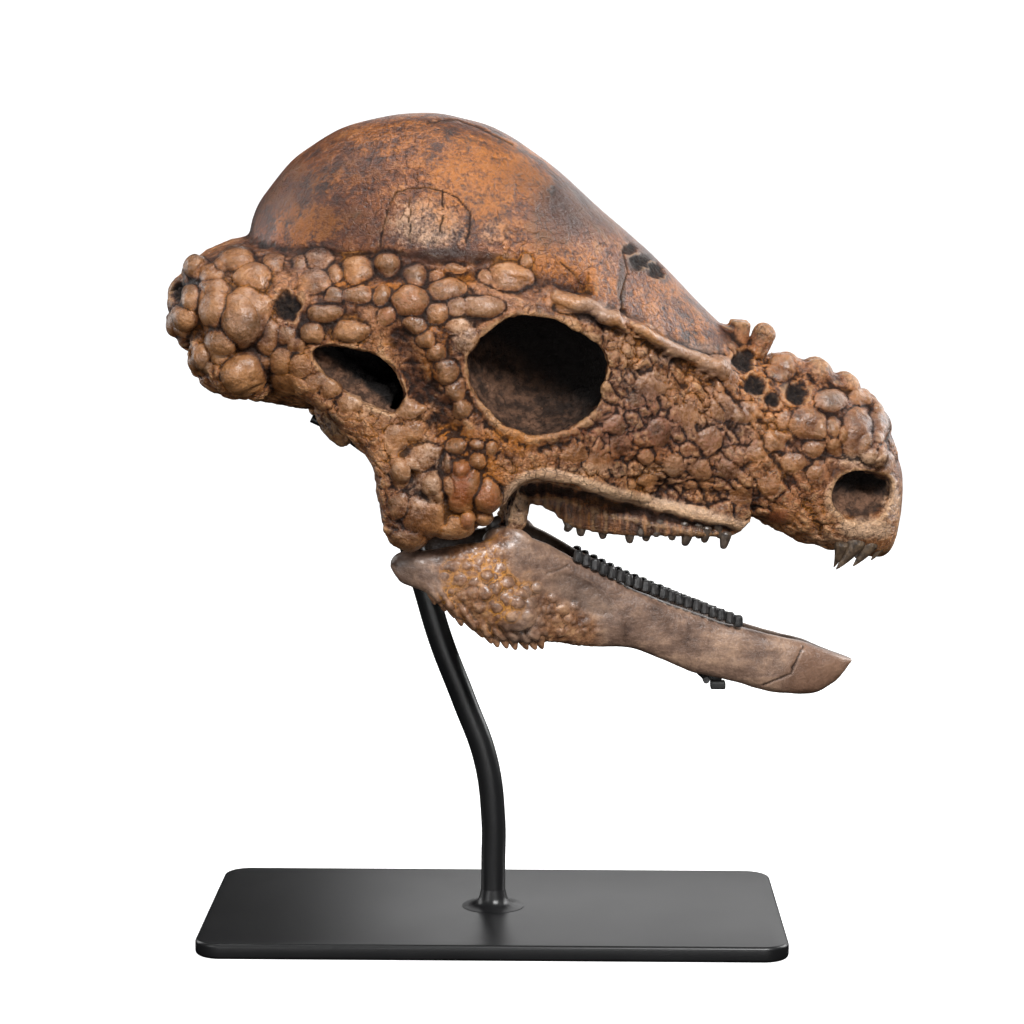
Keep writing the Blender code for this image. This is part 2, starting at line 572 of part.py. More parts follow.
def lower_teeth(side):
    middle = curve(JAW_MIDDLE)
    radius, tip_radius, length = LOWER_TOOTH
    teeth = []
    for k in range(LOWER_TEETH):
        share = k / (LOWER_TEETH - 1)
        x, z = (a + (b - a) * share for a, b in zip(LOWER_TEETH_FROM, LOWER_TEETH_TO))
        y = side * (middle(x) - LOWER_TEETH_INSET)
        z += roll_drop(side, x)
        teeth.append(spike((x, y, z - length * 0.7), (x, y, z + length * 0.3), radius, tip_radius))
    return teeth


# ---------------------------------------------------------------- lower jaw
def roll_drop(side, x):
    return -2 * JAW_ROLL * curve(JAW_MIDDLE)(x) if side == LEFT else 0.0


def jaw():
    top, bottom, middle, half = curve(JAW_TOP), curve(JAW_BOTTOM), curve(JAW_MIDDLE), curve(JAW_HALF)
    forms = []
    for side in (RIGHT, LEFT):
        forms.append(loft("ramus", -0.083, 0.299,
                          lambda x: section(side * middle(x), 0.5 * (top(x) + bottom(x)) + roll_drop(side, x),
                                            top(x) + roll_drop(side, x), bottom(x) + roll_drop(side, x),
                                            half(x), 2.6)))
        for name, ((x, y, z), radii, pitch) in JAW_FORMS.items():
            forms.append(ellipsoid(name, (x, side * y, z + roll_drop(side, x)), radii, pitch))
    return thin(fuse("jaw", forms, JAW_VOXEL, 2), JAW_FACES)


def part_jaw(whole):
    (rear_top, rear_low), (chin_top, chin_low) = JAW_SUTURE, CHIN_SUTURE
    tiles = {"surangular": [(-0.200, 0.400), rear_top, rear_low, (-0.200, 0.200)],
             "dentary": [rear_top, chin_top, chin_low, rear_low]}
    bones = {"predentary": part_between(whole, "predentary",
                                        prism("tile", [chin_top, (0.400, 0.300), (0.400, 0.180), chin_low],
                                              -0.1, 0.1))}
    for name, corners in tiles.items():
        for side, word in ((RIGHT, "right"), (LEFT, "left")):
            span = sorted((side * CUT / 2, side * 0.15))
            bones[f"{name}_{word}"] = part_between(whole, f"{name}_{word}", prism("tile", corners, *span))
    bpy.data.objects.remove(whole)
    return bones


def flange_spikes(side):
    middle = curve(JAW_MIDDLE)
    spikes = []
    for x, z in FLANGE_SPIKES:
        y, z = side * (middle(x) + 0.004), z + roll_drop(side, x)
        spikes.append(spike((x - 0.001, y, z + SPIKE_LENGTH), (x + 0.001, y, z - SPIKE_LENGTH * 0.9),
                            SPIKE_RADIUS, 0.0004, 4))
    return spikes


# ---------------------------------------------------------------- stand
def stand_base():
    bm = bmesh.new()
    place = Matrix.Translation((0, 0, PLATE_THICKNESS / 2)) @ Matrix.Diagonal(
        (PLATE_LENGTH, PLATE_DEPTH, PLATE_THICKNESS, 1))
    bmesh.ops.create_cube(bm, size=1, matrix=place)
    upright = [e for e in bm.edges if abs(e.verts[0].co.z - e.verts[1].co.z) > PLATE_THICKNESS / 2]
    bmesh.ops.bevel(bm, geom=upright, offset=PLATE_CORNER, segments=5, affect="EDGES", profile=0.5)
    obj = from_bmesh("stand_base", bm)
    rim = obj.modifiers.new("rim", "BEVEL")
    rim.width = PLATE_EDGE_ROUND
    rim.segments = 2
    rim.limit_method = "ANGLE"
    rim.angle_limit = math.radians(60)
    return settle(obj)


def rod(name, diameter):
    return tube(name, [(x, 0.0, z) for x, z in ROD_ROUTE], diameter, 3)


def weld():
    """Turned fillet at the foot of the rod."""
    bm = bmesh.new()
    points = [(0.0, WELD[-1][1])] + [(r, z) for r, z in reversed(WELD)] + [(0.0, 0.0)]
    verts = [bm.verts.new((r, 0, z)) for r, z in points]
    for a, b in zip(verts, verts[1:]):
        bm.edges.new((a, b))
    mesh = bpy.data.meshes.new("weld")
    bm.to_mesh(mesh)
    bm.free()
    obj = link(bpy.data.objects.new("weld", mesh))
    obj.location = (WELD_AT[0], 0, WELD_AT[1])
    turn = obj.modifiers.new("turn", "SCREW")
    turn.steps = turn.render_steps = 16
    turn.use_merge_vertices = True
    turn.merge_threshold = 0.0001
    return settle(obj)


def stand_post():
    prongs = [tube("prong", [(x, side * y, z) for x, y, z in PRONG], WIRE_DIAMETER) for side in (RIGHT, LEFT)]
    arm = tube("arm", ARM, WIRE_DIAMETER)
    x, y = BAR_END
    under_jaw = curve(JAW_BOTTOM)(x) - BAR_DIAMETER / 2 - BAR_CLEARANCE
    right, left = ((x, side * y, under_jaw + roll_drop(side, x)) for side in (RIGHT, LEFT))
    bar = tube("bar", [right, left], BAR_DIAMETER, steps=1)
    post = add(rod("stand_post", ROD_DIAMETER), [weld(), *prongs, arm, bar])
    post.name = "stand_post"
    return post


def stand_pad(side, word):
    x, y = PAD_AT
    bottom = curve(JAW_BOTTOM)(x) + roll_drop(side, x) - 0.0016
    half_x, half_y = PAD[0] / 2, PAD[1] / 2
    obj = box(f"stand_pad_{word}", (x - half_x, side * y - half_y, bottom - PAD[2]),
              (x + half_x, side * y + half_y, bottom))
    soft = obj.modifiers.new("soft", "BEVEL")
    soft.width = 0.0012
    soft.segments = 1
    return settle(obj)


# ---------------------------------------------------------------- assembly
def finish(obj, name, collection):
    """Names the piece, gives it its material and puts it in the object's collection."""
    obj.name = obj.data.name = name
    kind = name.split("_")[0]
    colour = COLOURS[kind]
    material = bpy.data.materials.new(name)
    material.use_nodes = True
    shader = material.node_tree.nodes["Principled BSDF"]
    shader.inputs["Base Color"].default_value = (*colour, 1)
    shader.inputs["Roughness"].default_value = 0.35 if kind == "stand" else 0.55
    shader.inputs["Metallic"].default_value = 0.0
    obj.data.materials.clear()
    obj.data.materials.append(material)
    obj.data.shade_smooth()
    obj.data.set_sharp_from_angle(angle=math.radians(40))
    for other in list(obj.users_collection):
        other.objects.unlink(obj)
    collection.objects.link(obj)


def main():
    for obj in list(bpy.data.objects):
        bpy.data.objects.remove(obj)
    bones = part_cranium(cranium())
    for side, word in ((RIGHT, "right"), (LEFT, "left")):
        bones[f"maxilla_{word}"] = add(bones[f"maxilla_{word}"], upper_teeth(side))
    bones["premaxilla"] = add(bones["premaxilla"], front_teeth())
    socket = rod("socket", ROD_DIAMETER + 4 * GAP)
    bones["braincase"] = main_body(boolean(bones["braincase"], socket, "DIFFERENCE"))
    bones.update(part_jaw(jaw()))
    for side, word in ((RIGHT, "right"), (LEFT, "left")):
        bones[f"dentary_{word}"] = add(bones[f"dentary_{word}"], lower_teeth(side))
        bones[f"surangular_{word}"] = add(bones[f"surangular_{word}"], flange_spikes(side))
        bones[f"stand_pad_{word}"] = stand_pad(side, word)
    bones["stand_base"] = stand_base()
    bones["stand_post"] = stand_post()
    collection = bpy.data.collections.new("dinosaur_skull")
    bpy.context.scene.collection.children.link(collection)
    for name, obj in bones.items():
        finish(obj, name, collection)


main()
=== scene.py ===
import math
import bpy
import bmesh
import mathutils
import numpy as np
from mathutils import Matrix, Vector
from mathutils.bvhtree import BVHTree


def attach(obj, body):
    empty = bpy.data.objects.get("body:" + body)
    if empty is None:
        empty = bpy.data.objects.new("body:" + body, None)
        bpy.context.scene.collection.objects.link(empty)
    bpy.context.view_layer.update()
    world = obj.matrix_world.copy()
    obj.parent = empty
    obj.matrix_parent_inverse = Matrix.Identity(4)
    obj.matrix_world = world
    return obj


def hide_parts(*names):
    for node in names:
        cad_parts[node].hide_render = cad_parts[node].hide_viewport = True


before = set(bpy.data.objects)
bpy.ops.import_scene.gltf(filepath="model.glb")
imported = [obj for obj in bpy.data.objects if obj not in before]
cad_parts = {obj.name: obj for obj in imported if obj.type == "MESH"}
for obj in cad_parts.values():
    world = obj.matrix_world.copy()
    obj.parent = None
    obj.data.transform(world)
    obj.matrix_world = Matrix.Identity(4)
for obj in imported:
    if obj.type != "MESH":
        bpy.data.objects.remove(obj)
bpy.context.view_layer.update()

scene = bpy.context.scene
right, left = -1, 1
sideNames = {right: "right", left: "left"}

# sizes are in metres; meshing holds the steps of the rough forms and the voxel sizes they are fused at
meshing = {"station": 0.004, "ring": 64, "coarse": 0.0028, "fine": 0.00145, "jaw": 0.0012}


# a smooth line through points, which rises and falls only where they do
def curveThrough(points):
    x, y = np.array(points, float).T
    step = np.diff(y) / np.diff(x)
    slope = np.zeros_like(y)
    slope[0], slope[-1] = step[0], step[-1]
    same = step[:-1] * step[1:] > 0
    slope[1:-1][same] = 2 * (step[:-1] * step[1:])[same] / (step[:-1] + step[1:])[same]

    def value(at):
        at = np.clip(at, x[0], x[-1])
        k = np.clip(np.searchsorted(x, at) - 1, 0, len(x) - 2)
        h = x[k + 1] - x[k]
        t = (at - x[k]) / h
        return (y[k] * (1 + 2 * t) * (1 - t) ** 2 + y[k + 1] * t * t * (3 - 2 * t)
                + h * (slope[k] * t * (1 - t) ** 2 - slope[k + 1] * t * t * (1 - t)))

    return value


def lineAt(line, at):
    return np.interp(at, *np.array(line, float).T)


def ease(low, high, value):
    t = np.clip((value - low) / (high - low), 0.0, 1.0)
    return t * t * (3 - 2 * t)


# rises over the first two of the span's values and falls over the last two
def window(span, value):
    return ease(span[0], span[1], value) * (1 - ease(span[2], span[3], value))


def addObject(name, data):
    obj = bpy.data.objects.new(name, data)
    scene.collection.objects.link(obj)
    return obj


def fromBmesh(name, bm):
    mesh = bpy.data.meshes.new(name)
    bm.to_mesh(mesh)
    bm.free()
    return addObject(name, mesh)


def addMesh(name, verts, faces):
    mesh = bpy.data.meshes.new("draft")
    mesh.from_pydata([tuple(v) for v in verts], [], faces)
    bm = bmesh.new()
    bm.from_mesh(mesh)
    bmesh.ops.recalc_face_normals(bm, faces=bm.faces[:])
    bpy.data.meshes.remove(mesh)
    return fromBmesh(name, bm)


# quads between rings of n points each, and a face over both ends
def ringFaces(rings, n):
    faces = [(i * n + k, i * n + (k + 1) % n, (i + 1) * n + (k + 1) % n, (i + 1) * n + k)
             for i in range(rings - 1) for k in range(n)]
    return faces + [tuple(range(n)), tuple(range((rings - 1) * n, rings * n))]


# lofted forms: from x, to x, and how square the section is
lofts = {"dome": (-0.206, 0.215, 2.1), "shelf": (-0.262, 0.13, 2.7), "snout": (0.08, 0.338, 2.5),
         "case": (-0.15, 0.02, 2.6), "cheek": (-0.155, 0.15, 3.2), "toothPlate": (0.014, 0.21, 3.0),
         "ramus": (-0.083, 0.299, 2.6)}


# shape(x) gives the section's middle y, widest z, top z, bottom z and half width
def loft(name, shape, lean=0.0):
    xFrom, xTo, power = lofts[name]
    count = max(3, round((xTo - xFrom) / meshing["station"]) + 1)
    a = np.arange(meshing["ring"]) * 2 * math.pi / meshing["ring"]
    wide = np.sign(np.cos(a)) * abs(np.cos(a)) ** (2 / power)
    tall = np.sign(np.sin(a)) * abs(np.sin(a)) ** (2 / power)
    verts = []
    for x in np.linspace(xFrom, xTo, count):
        middle, widest, top, bottom, half = shape(x)
        z = np.where(tall > 0, tall * (top - widest), tall * (widest - bottom))
        verts += [(x, y, widest + up) for y, up in zip(middle + wide * half + lean * z, z)]
    return addMesh(name, verts, ringFaces(count, meshing["ring"]))


def ellipsoid(name, centre, radii, pitch=0.0, detail=(32, 20)):
    bm = bmesh.new()
    place = Matrix.Translation(centre) @ Matrix.Rotation(pitch, 4, "Y") @ Matrix.Diagonal((*radii, 1))
    bmesh.ops.create_uvsphere(bm, u_segments=detail[0], v_segments=detail[1], radius=1, matrix=place)
    return fromBmesh(name, bm)


def onSide(name, form, side):
    (x, y, z), radii, pitch = form
    return ellipsoid(name, (x, side * y, z), radii, pitch)


def settle(obj):
    bpy.context.view_layer.update()
    mesh = bpy.data.meshes.new_from_object(obj.evaluated_get(bpy.context.evaluated_depsgraph_get()))
    name = obj.name
    bpy.data.objects.remove(obj)
    return addObject(name, mesh)


def tube(name, points, diameter, sides=4, steps=6):
    data = bpy.data.curves.new(name, "CURVE")
    data.dimensions = "3D"
    data.bevel_depth = diameter / 2
    data.bevel_resolution = sides
    data.use_fill_caps = True
    data.resolution_u = steps
    spline = data.splines.new("BEZIER")
    spline.bezier_points.add(len(points) - 1)
    for point, place in zip(spline.bezier_points, points):
        point.co = place
        point.handle_left_type = point.handle_right_type = "AUTO"
    return settle(addObject(name, data))


def joinMeshes(name, objects):
    bm = bmesh.new()
    for obj in objects:
        bm.from_mesh(obj.data)
        bpy.data.objects.remove(obj)
    bmesh.ops.remove_doubles(bm, verts=bm.verts, dist=0.00001)
    bmesh.ops.recalc_face_normals(bm, faces=bm.faces[:])
    return fromBmesh(name, bm)


def fuse(name, objects, voxel, smooth):
    obj = joinMeshes(name, objects)
    remesh = obj.modifiers.new("fuse", "REMESH")
    remesh.mode = "VOXEL"
    remesh.voxel_size = voxel
    soften = obj.modifiers.new("soften", "SMOOTH")
    soften.factor = 0.5
    soften.iterations = smooth
    return settle(obj)


def subtract(obj, cutters):
    cutter = joinMeshes("cutter", cutters)
    change = obj.modifiers.new("cut", "BOOLEAN")
    change.operation = "DIFFERENCE"
    change.object = cutter
    change.solver = "EXACT"
    done = settle(obj)
    bpy.data.objects.remove(cutter)
    return done


def treeOf(obj):
    bm = bmesh.new()
    bm.from_mesh(obj.data)
    tree = BVHTree.FromBMesh(bm)
    bm.free()
    return tree


def readCo(mesh):
    co = np.empty(len(mesh.vertices) * 3)
    mesh.vertices.foreach_get("co", co)
    return co.reshape(-1, 3)


def writeCo(mesh, co):
    mesh.vertices.foreach_set("co", np.ascontiguousarray(co, np.float32).ravel())


def readNormals(mesh):
    no = np.empty(len(mesh.vertices) * 3, np.float32)
    mesh.vertex_normals.foreach_get("vector", no)
    return no.reshape(-1, 3).astype(float)


def readEdges(mesh):
    edges = np.empty(len(mesh.edges) * 2, np.int32)
    mesh.edges.foreach_get("vertices", edges)
    return edges.reshape(-1, 2)


def blur(values, edges, times):
    n = len(values)
    a, b = edges[:, 0], edges[:, 1]
    count = np.bincount(a, minlength=n) + np.bincount(b, minlength=n)
    flat = values.reshape(n, -1)
    for _ in range(times):
        columns = [np.bincount(a, weights=column[b], minlength=n) + np.bincount(b, weights=column[a], minlength=n)
                   for column in flat.T]
        flat = 0.4 * flat + 0.6 * np.stack(columns, 1) / count[:, None]
    return flat.reshape(values.shape)


# keeps the moved points and their named values on the mesh
def finishRelief(mesh, co, values):
    writeCo(mesh, co)
    mesh.update()
    for name, value in values.items():
        layer = mesh.attributes.new(name, "FLOAT", "POINT")
        layer.data.foreach_set("value", np.ascontiguousarray(value, np.float32))


# how far each point lies below the smoothed surface, as a share of a depth
def sunkBelow(co, no, smooth, depth):
    return np.sum((smooth - co) * no, 1) / depth


# large numbers that scramble a cell's place into a value from 0 to 1
scramble = {"cell": (73856093, 19349663, 83492791), "seed": 2654435761, "mixing": (2246822519, 3266489917)}


def scatter(i, j, k, seed):
    a, b, c = (cell.astype(np.int64) * step for cell, step in zip((i, j, k), scramble["cell"]))
    h = ((a ^ b ^ c) + seed * scramble["seed"]) & 0xFFFFFFFF
    for shift, step in zip((15, 13), scramble["mixing"]):
        h = ((h ^ (h >> shift)) * step) & 0xFFFFFFFF
    return ((h ^ (h >> 16)) & 0xFFFFFF) / float(0xFFFFFF)


def noise(points, size, seed=0):
    p = points / size
    base = np.floor(p)
    t = p - base
    t = t * t * t * (t * (t * 6 - 15) + 10)
    i, j, k = base.T.astype(np.int64)
    total = 0
    for dx in (0, 1):
        for dy in (0, 1):
            for dz in (0, 1):
                w = (t[:, 0] if dx else 1 - t[:, 0]) * (t[:, 1] if dy else 1 - t[:, 1])
                total = total + w * (t[:, 2] if dz else 1 - t[:, 2]) * scatter(i + dx, j + dy, k + dz, seed)
    return total * 2 - 1


def layered(points, size, octaves, seed, gain, shift, shape):
    total, weight, top = 0, 1.0, 0.0
    for n in range(octaves):
        total = total + weight * shape(noise(points + shift * n, size / 2 ** n, seed + n))
        top += weight
        weight *= gain
    return total / top


def cloudy(points, size, octaves=4, seed=0, gain=0.5):
    return layered(points, size, octaves, seed, gain, 7.3, lambda value: value)


def creased(points, size, octaves=3, seed=0):
    return layered(points, size, octaves, seed, 0.5, 3.1, lambda value: (1 - abs(value)) ** 2)


def cobbles(points, size, seed=0):
    p = points / size
    base = np.floor(p).astype(np.int64)
    near = np.full(len(p), 9.0)
    second = np.full(len(p), 9.0)
    pick = np.zeros(len(p))
    for dx in (-1, 0, 1):
        for dy in (-1, 0, 1):
            for dz in (-1, 0, 1):
                i, j, k = base[:, 0] + dx, base[:, 1] + dy, base[:, 2] + dz
                d = sum((cell + scatter(i, j, k, seed + n) - p[:, n]) ** 2 for n, cell in enumerate((i, j, k)))
                closer = d < near
                second = np.where(closer, near, np.minimum(second, d))
                pick = np.where(closer, scatter(i, j, k, seed + 3), pick)
                near = np.where(closer, d, near)
    return np.sqrt(near), np.sqrt(second), pick


# the camera's frame is square, frameSize units a side, with u to the right and v down
shot = {
    "place": (0.04668, -2.38058, 0.64399), "pitchDown": 7.06, "yaw": -0.787, "roll": 0.169, "lens": 101.17,
    "sensor": 36.0, "frameSize": 1024,
}

pitch, yaw, roll = (math.radians(a) for a in (shot["pitchDown"], shot["yaw"], shot["roll"]))
ahead = Vector((math.sin(yaw) * math.cos(pitch), math.cos(yaw) * math.cos(pitch), -math.sin(pitch)))
across = Vector((math.cos(yaw), -math.sin(yaw), 0))
upward = across.cross(ahead)
frameX = across * math.cos(roll) + upward * math.sin(roll)
frameY = upward * math.cos(roll) - across * math.sin(roll)
focal = shot["lens"] / shot["sensor"] * shot["frameSize"]
frameHalf = shot["frameSize"] / 2
camera = addObject("camera", bpy.data.cameras.new("camera"))
camera.data.lens = shot["lens"]
camera.data.sensor_width = shot["sensor"]
camera.data.sensor_fit = "HORIZONTAL"
placeAt = Vector(shot["place"])
camera.matrix_world = Matrix([*zip(frameX, frameY, -ahead, placeAt), (0, 0, 0, 1)])
scene.camera = camera


def frameRay(u, v):
    way = ahead + frameX * ((u - frameHalf) / focal) + frameY * ((frameHalf - v) / focal)
    return placeAt, way.normalized()


# every point is read as if it lay on the right side, so both sides get the same pattern
def onRight(co):
    return np.stack([co[:, 0], -abs(co[:, 1]), co[:, 2]], 1)


def toFrame(co):
    p = onRight(co) - np.array(placeAt)
    depth = p @ np.array(ahead)
    return frameHalf + focal * (p @ np.array(frameX)) / depth, frameHalf - focal * (p @ np.array(frameY)) / depth


# the skull's lines in side view as (x, z), its half widths as (x, y)
skull = {
    "domeTop": [
        (-0.206, 0.56), (-0.198, 0.598), (-0.186, 0.617), (-0.161, 0.645), (-0.112, 0.671), (-0.06, 0.679),
        (-0.013, 0.671), (0.036, 0.644), (0.086, 0.601), (0.135, 0.558), (0.172, 0.52), (0.215, 0.48)
    ],
    "domeWidth": [
        (-0.206, 0.02), (-0.196, 0.062), (-0.17, 0.093), (-0.12, 0.117), (-0.06, 0.124), (0.0, 0.119),
        (0.05, 0.103), (0.1, 0.08), (0.15, 0.058), (0.215, 0.042)
    ],
    "domeWidest": [(-0.206, 0.545), (-0.1, 0.548), (0.05, 0.54), (0.12, 0.5), (0.215, 0.45)],
    "shelfTop": [
        (-0.262, 0.525), (-0.252, 0.55), (-0.236, 0.567), (-0.2, 0.577), (0.0, 0.566), (0.09, 0.528),
        (0.13, 0.5)
    ],
    "shelfBottom": [
        (-0.262, 0.508), (-0.254, 0.494), (-0.236, 0.478), (-0.215, 0.457), (-0.19, 0.444), (-0.16, 0.438),
        (-0.12, 0.437), (0.0, 0.405), (0.13, 0.385)
    ],
    "shelfWidth": [
        (-0.262, 0.045), (-0.255, 0.08), (-0.236, 0.112), (-0.2, 0.13), (-0.14, 0.139), (-0.06, 0.14),
        (0.0, 0.135), (0.06, 0.122), (0.13, 0.088)
    ],
    "snoutTop": [
        (0.08, 0.59), (0.135, 0.545), (0.172, 0.508), (0.2, 0.488), (0.235, 0.474), (0.285, 0.458),
        (0.308, 0.443), (0.325, 0.423), (0.338, 0.385)
    ],
    "snoutBottom": [
        (0.08, 0.376), (0.134, 0.363), (0.19, 0.352), (0.225, 0.342), (0.25, 0.328), (0.284, 0.319),
        (0.322, 0.313), (0.331, 0.322), (0.338, 0.355)
    ],
    "snoutWidth": [
        (0.08, 0.11), (0.11, 0.096), (0.14, 0.08), (0.17, 0.067), (0.2, 0.059), (0.25, 0.051), (0.3, 0.044),
        (0.322, 0.034), (0.334, 0.022), (0.338, 0.01)
    ],
    "cheekTop": 0.5,
    "cheekBottom": [
        (-0.155, 0.455), (-0.132, 0.439), (-0.117, 0.423), (-0.103, 0.409), (-0.094, 0.391), (-0.09, 0.362),
        (-0.087, 0.344), (-0.079, 0.334), (-0.069, 0.33), (-0.059, 0.334), (-0.05, 0.343), (-0.022, 0.344),
        (-0.011, 0.349), (0.006, 0.367), (0.02, 0.382), (0.038, 0.386), (0.06, 0.38), (0.1, 0.37), (0.15, 0.36)
    ],
    "cheekMiddle": [
        (-0.155, 0.112), (-0.09, 0.11), (-0.05, 0.108), (0.02, 0.107), (0.07, 0.092), (0.15, 0.048)
    ],
    "cheekHalf": [(-0.155, 0.02), (0.08, 0.02), (0.12, 0.012), (0.15, 0.004)],
    "cheekLean": 0.1,
    "platePlan": [(0.014, 0.056), (0.044, 0.056), (0.12, 0.05), (0.21, 0.04)],
    "plateBottom": [
        (0.014, 0.366), (0.036, 0.362), (0.05, 0.355), (0.058, 0.347), (0.075, 0.341), (0.117, 0.336),
        (0.194, 0.335), (0.202, 0.339), (0.21, 0.35)
    ],
    "plateTop": 0.392, "plateHalf": 0.0085, "domeBelow": 0.04, "shelfWidest": 0.515,
    "snoutWidestShare": (0.58, 0.42), "caseWidest": 0.45, "caseTop": 0.5, "plateWidest": 0.365,
}
# rounded forms: (x, y, z), radii, pitch
sideForms = {
    "flange": ((0.008, 0.058, 0.378), (0.02, 0.008, 0.042), 0.2),
    "column": ((0.0165, 0.066, 0.364), (0.0135, 0.01, 0.034), 0.1),
    "corner": ((-0.2, 0.098, 0.49), (0.042, 0.034, 0.04), 0.0),
}
palateForm = ((0.032, 0.0, 0.394), (0.034, 0.056, 0.022), 0.0)
hollows = [
    ((-0.262, 0.0, 0.44), (0.1, 0.07, 0.068), 0.0), ((0.12, 0.0, 0.342), (0.095, 0.034, 0.034), 0.1),
    ((-0.048, 0.066, 0.385), (0.07, 0.027, 0.075), 0.0), ((-0.048, -0.066, 0.385), (0.07, 0.027, 0.075), 0.0)
]
braincase = {
    "bottom": [(-0.15, 0.445), (-0.12, 0.428), (-0.08, 0.408), (-0.03, 0.402), (0.02, 0.398)],
    "width": [(-0.15, 0.022), (-0.11, 0.04), (-0.05, 0.034), (0.02, 0.03)],
    "condyle": ((-0.14, 0.0, 0.44), (0.016, 0.016, 0.016), 0.0),
    "tuber": ((-0.07, 0.02, 0.402), (0.014, 0.012, 0.014), 0.0),
    "process": ((-0.04, 0.026, 0.386), (0.01, 0.009, 0.026), -0.5),
    "rearProcess": ((-0.13, 0.076, 0.4275), (0.009, 0.012, 0.02), -0.68),
    "ledge": [(-0.141, 0.488), (-0.125, 0.47), (-0.104, 0.455), (-0.082, 0.446)],
    "ledgeAt": (0.099, 0.034),
}
# pockets: outline as (x, z), depth of the floor, and walls as (share of the depth, width)
pockets = {
    "orbit": {
        "floor": 0.05, "drift": (0.01, 0.008),
        "outline": [
            (-0.0194, 0.482), (-0.0171, 0.494), (-0.009, 0.503), (0.005, 0.514), (0.019, 0.52), (0.037, 0.519),
            (0.053, 0.515), (0.069, 0.506), (0.084, 0.495), (0.09, 0.483), (0.089, 0.468), (0.085, 0.4515),
            (0.075, 0.4385), (0.061, 0.429), (0.043, 0.425), (0.025, 0.4255), (0.007, 0.434), (-0.007, 0.449),
            (-0.017, 0.465)
        ],
        "walls": [(0, 0.55), (0.08, 0.74), (0.16, 0.87), (0.24, 0.96), (0.31, 1.0), (1, 1.0)],
    },
    "fenestra": {
        "floor": 0.048, "drift": (0.019, 0.007),
        "outline": [
            (-0.14, 0.4905), (-0.136, 0.4945), (-0.1255, 0.496), (-0.1135, 0.495), (-0.096, 0.491),
            (-0.082, 0.483), (-0.074, 0.471), (-0.069, 0.457), (-0.071, 0.447), (-0.0795, 0.4435),
            (-0.0915, 0.4475), (-0.104, 0.453), (-0.118, 0.462), (-0.1295, 0.472), (-0.1375, 0.4815)
        ],
        "walls": [(0, 0.32), (0.14, 0.42), (0.26, 0.62), (0.35, 0.84), (0.42, 1.0), (1, 1.0)],
    },
    "naris": {
        "floor": 0.013, "drift": (0.006, 0.004),
        "outline": [
            (0.276, 0.3745), (0.2815, 0.384), (0.292, 0.389), (0.3035, 0.389), (0.3175, 0.3865),
            (0.328, 0.3825), (0.3312, 0.371), (0.3292, 0.3605), (0.3205, 0.3515), (0.307, 0.346),
            (0.294, 0.3475), (0.283, 0.3535), (0.2755, 0.363)
        ],
        "walls": [(0, 0.3), (0.05, 0.52), (0.1, 0.76), (0.145, 0.94), (0.17, 1.0), (1, 1.0)],
    },
}
# knobs of the rim in side view as (x, z, radius, share that stands proud), behind as (y, z, radius)
rimKnobs = {
    "castFrom": 0.3, "rearFrom": -0.6, "rearProud": 0.5,
    "big": [
        (-0.207, 0.512, 0.023, 0.6), (-0.236, 0.524, 0.017, 0.6), (-0.211, 0.472, 0.016, 0.6),
        (-0.231, 0.488, 0.014, 0.6), (-0.252, 0.508, 0.013, 0.6), (-0.24, 0.552, 0.013, 0.6),
        (-0.186, 0.458, 0.012, 0.6), (-0.05, 0.446, 0.012, 0.45), (-0.044, 0.385, 0.014, 0.45),
        (-0.07, 0.4, 0.013, 0.45), (0.273, 0.42, 0.015, 0.45), (0.31, 0.405, 0.017, 0.45)
    ],
    "rear": [
        (0.02, 0.54, 0.013), (0.048, 0.535, 0.015), (0.078, 0.528, 0.016), (0.062, 0.508, 0.012),
        (0.092, 0.498, 0.014)
    ],
}
# knobs over the snout: lines as (x, z) with a width, pegs as (x, y, z of the tip, radius)
snoutKnobs = {
    "out": 0.0125,
    "lines": {
        "finger": ([(0.2095, 0.472), (0.216, 0.486), (0.2212, 0.4965)], 0.0175),
        "stump": ([(0.198, 0.478), (0.2005, 0.495), (0.202, 0.5095)], 0.0165),
        "block": ([(0.184, 0.482), (0.188, 0.497), (0.1905, 0.5055)], 0.0165),
        "bridge": (
            [(0.226, 0.474), (0.236, 0.4715), (0.248, 0.469), (0.263, 0.464), (0.278, 0.457),
             (0.292, 0.447), (0.3, 0.438)],
            0.019
        ),
    },
    "fingerEnd": ((0.2218, 0.4985), 0.009),
    "pegs": [
        (0.241, 0.013, 0.49, 0.011), (0.265, 0.012, 0.486, 0.012), (0.289, 0.011, 0.474, 0.011),
        (0.306, 0.01, 0.458, 0.01)
    ],
    "pegSink": 0.0215, "pegStretch": (1.15, 0.95), "pegHalf": 0.015,
}
browRidge = {
    "line": [(0.047, 0.534), (0.08, 0.521), (0.112, 0.507), (0.145, 0.488), (0.178, 0.474)],
    "radius": 0.006, "end": (0.012, 0.008, 0.009), "endPitch": 0.5,
}


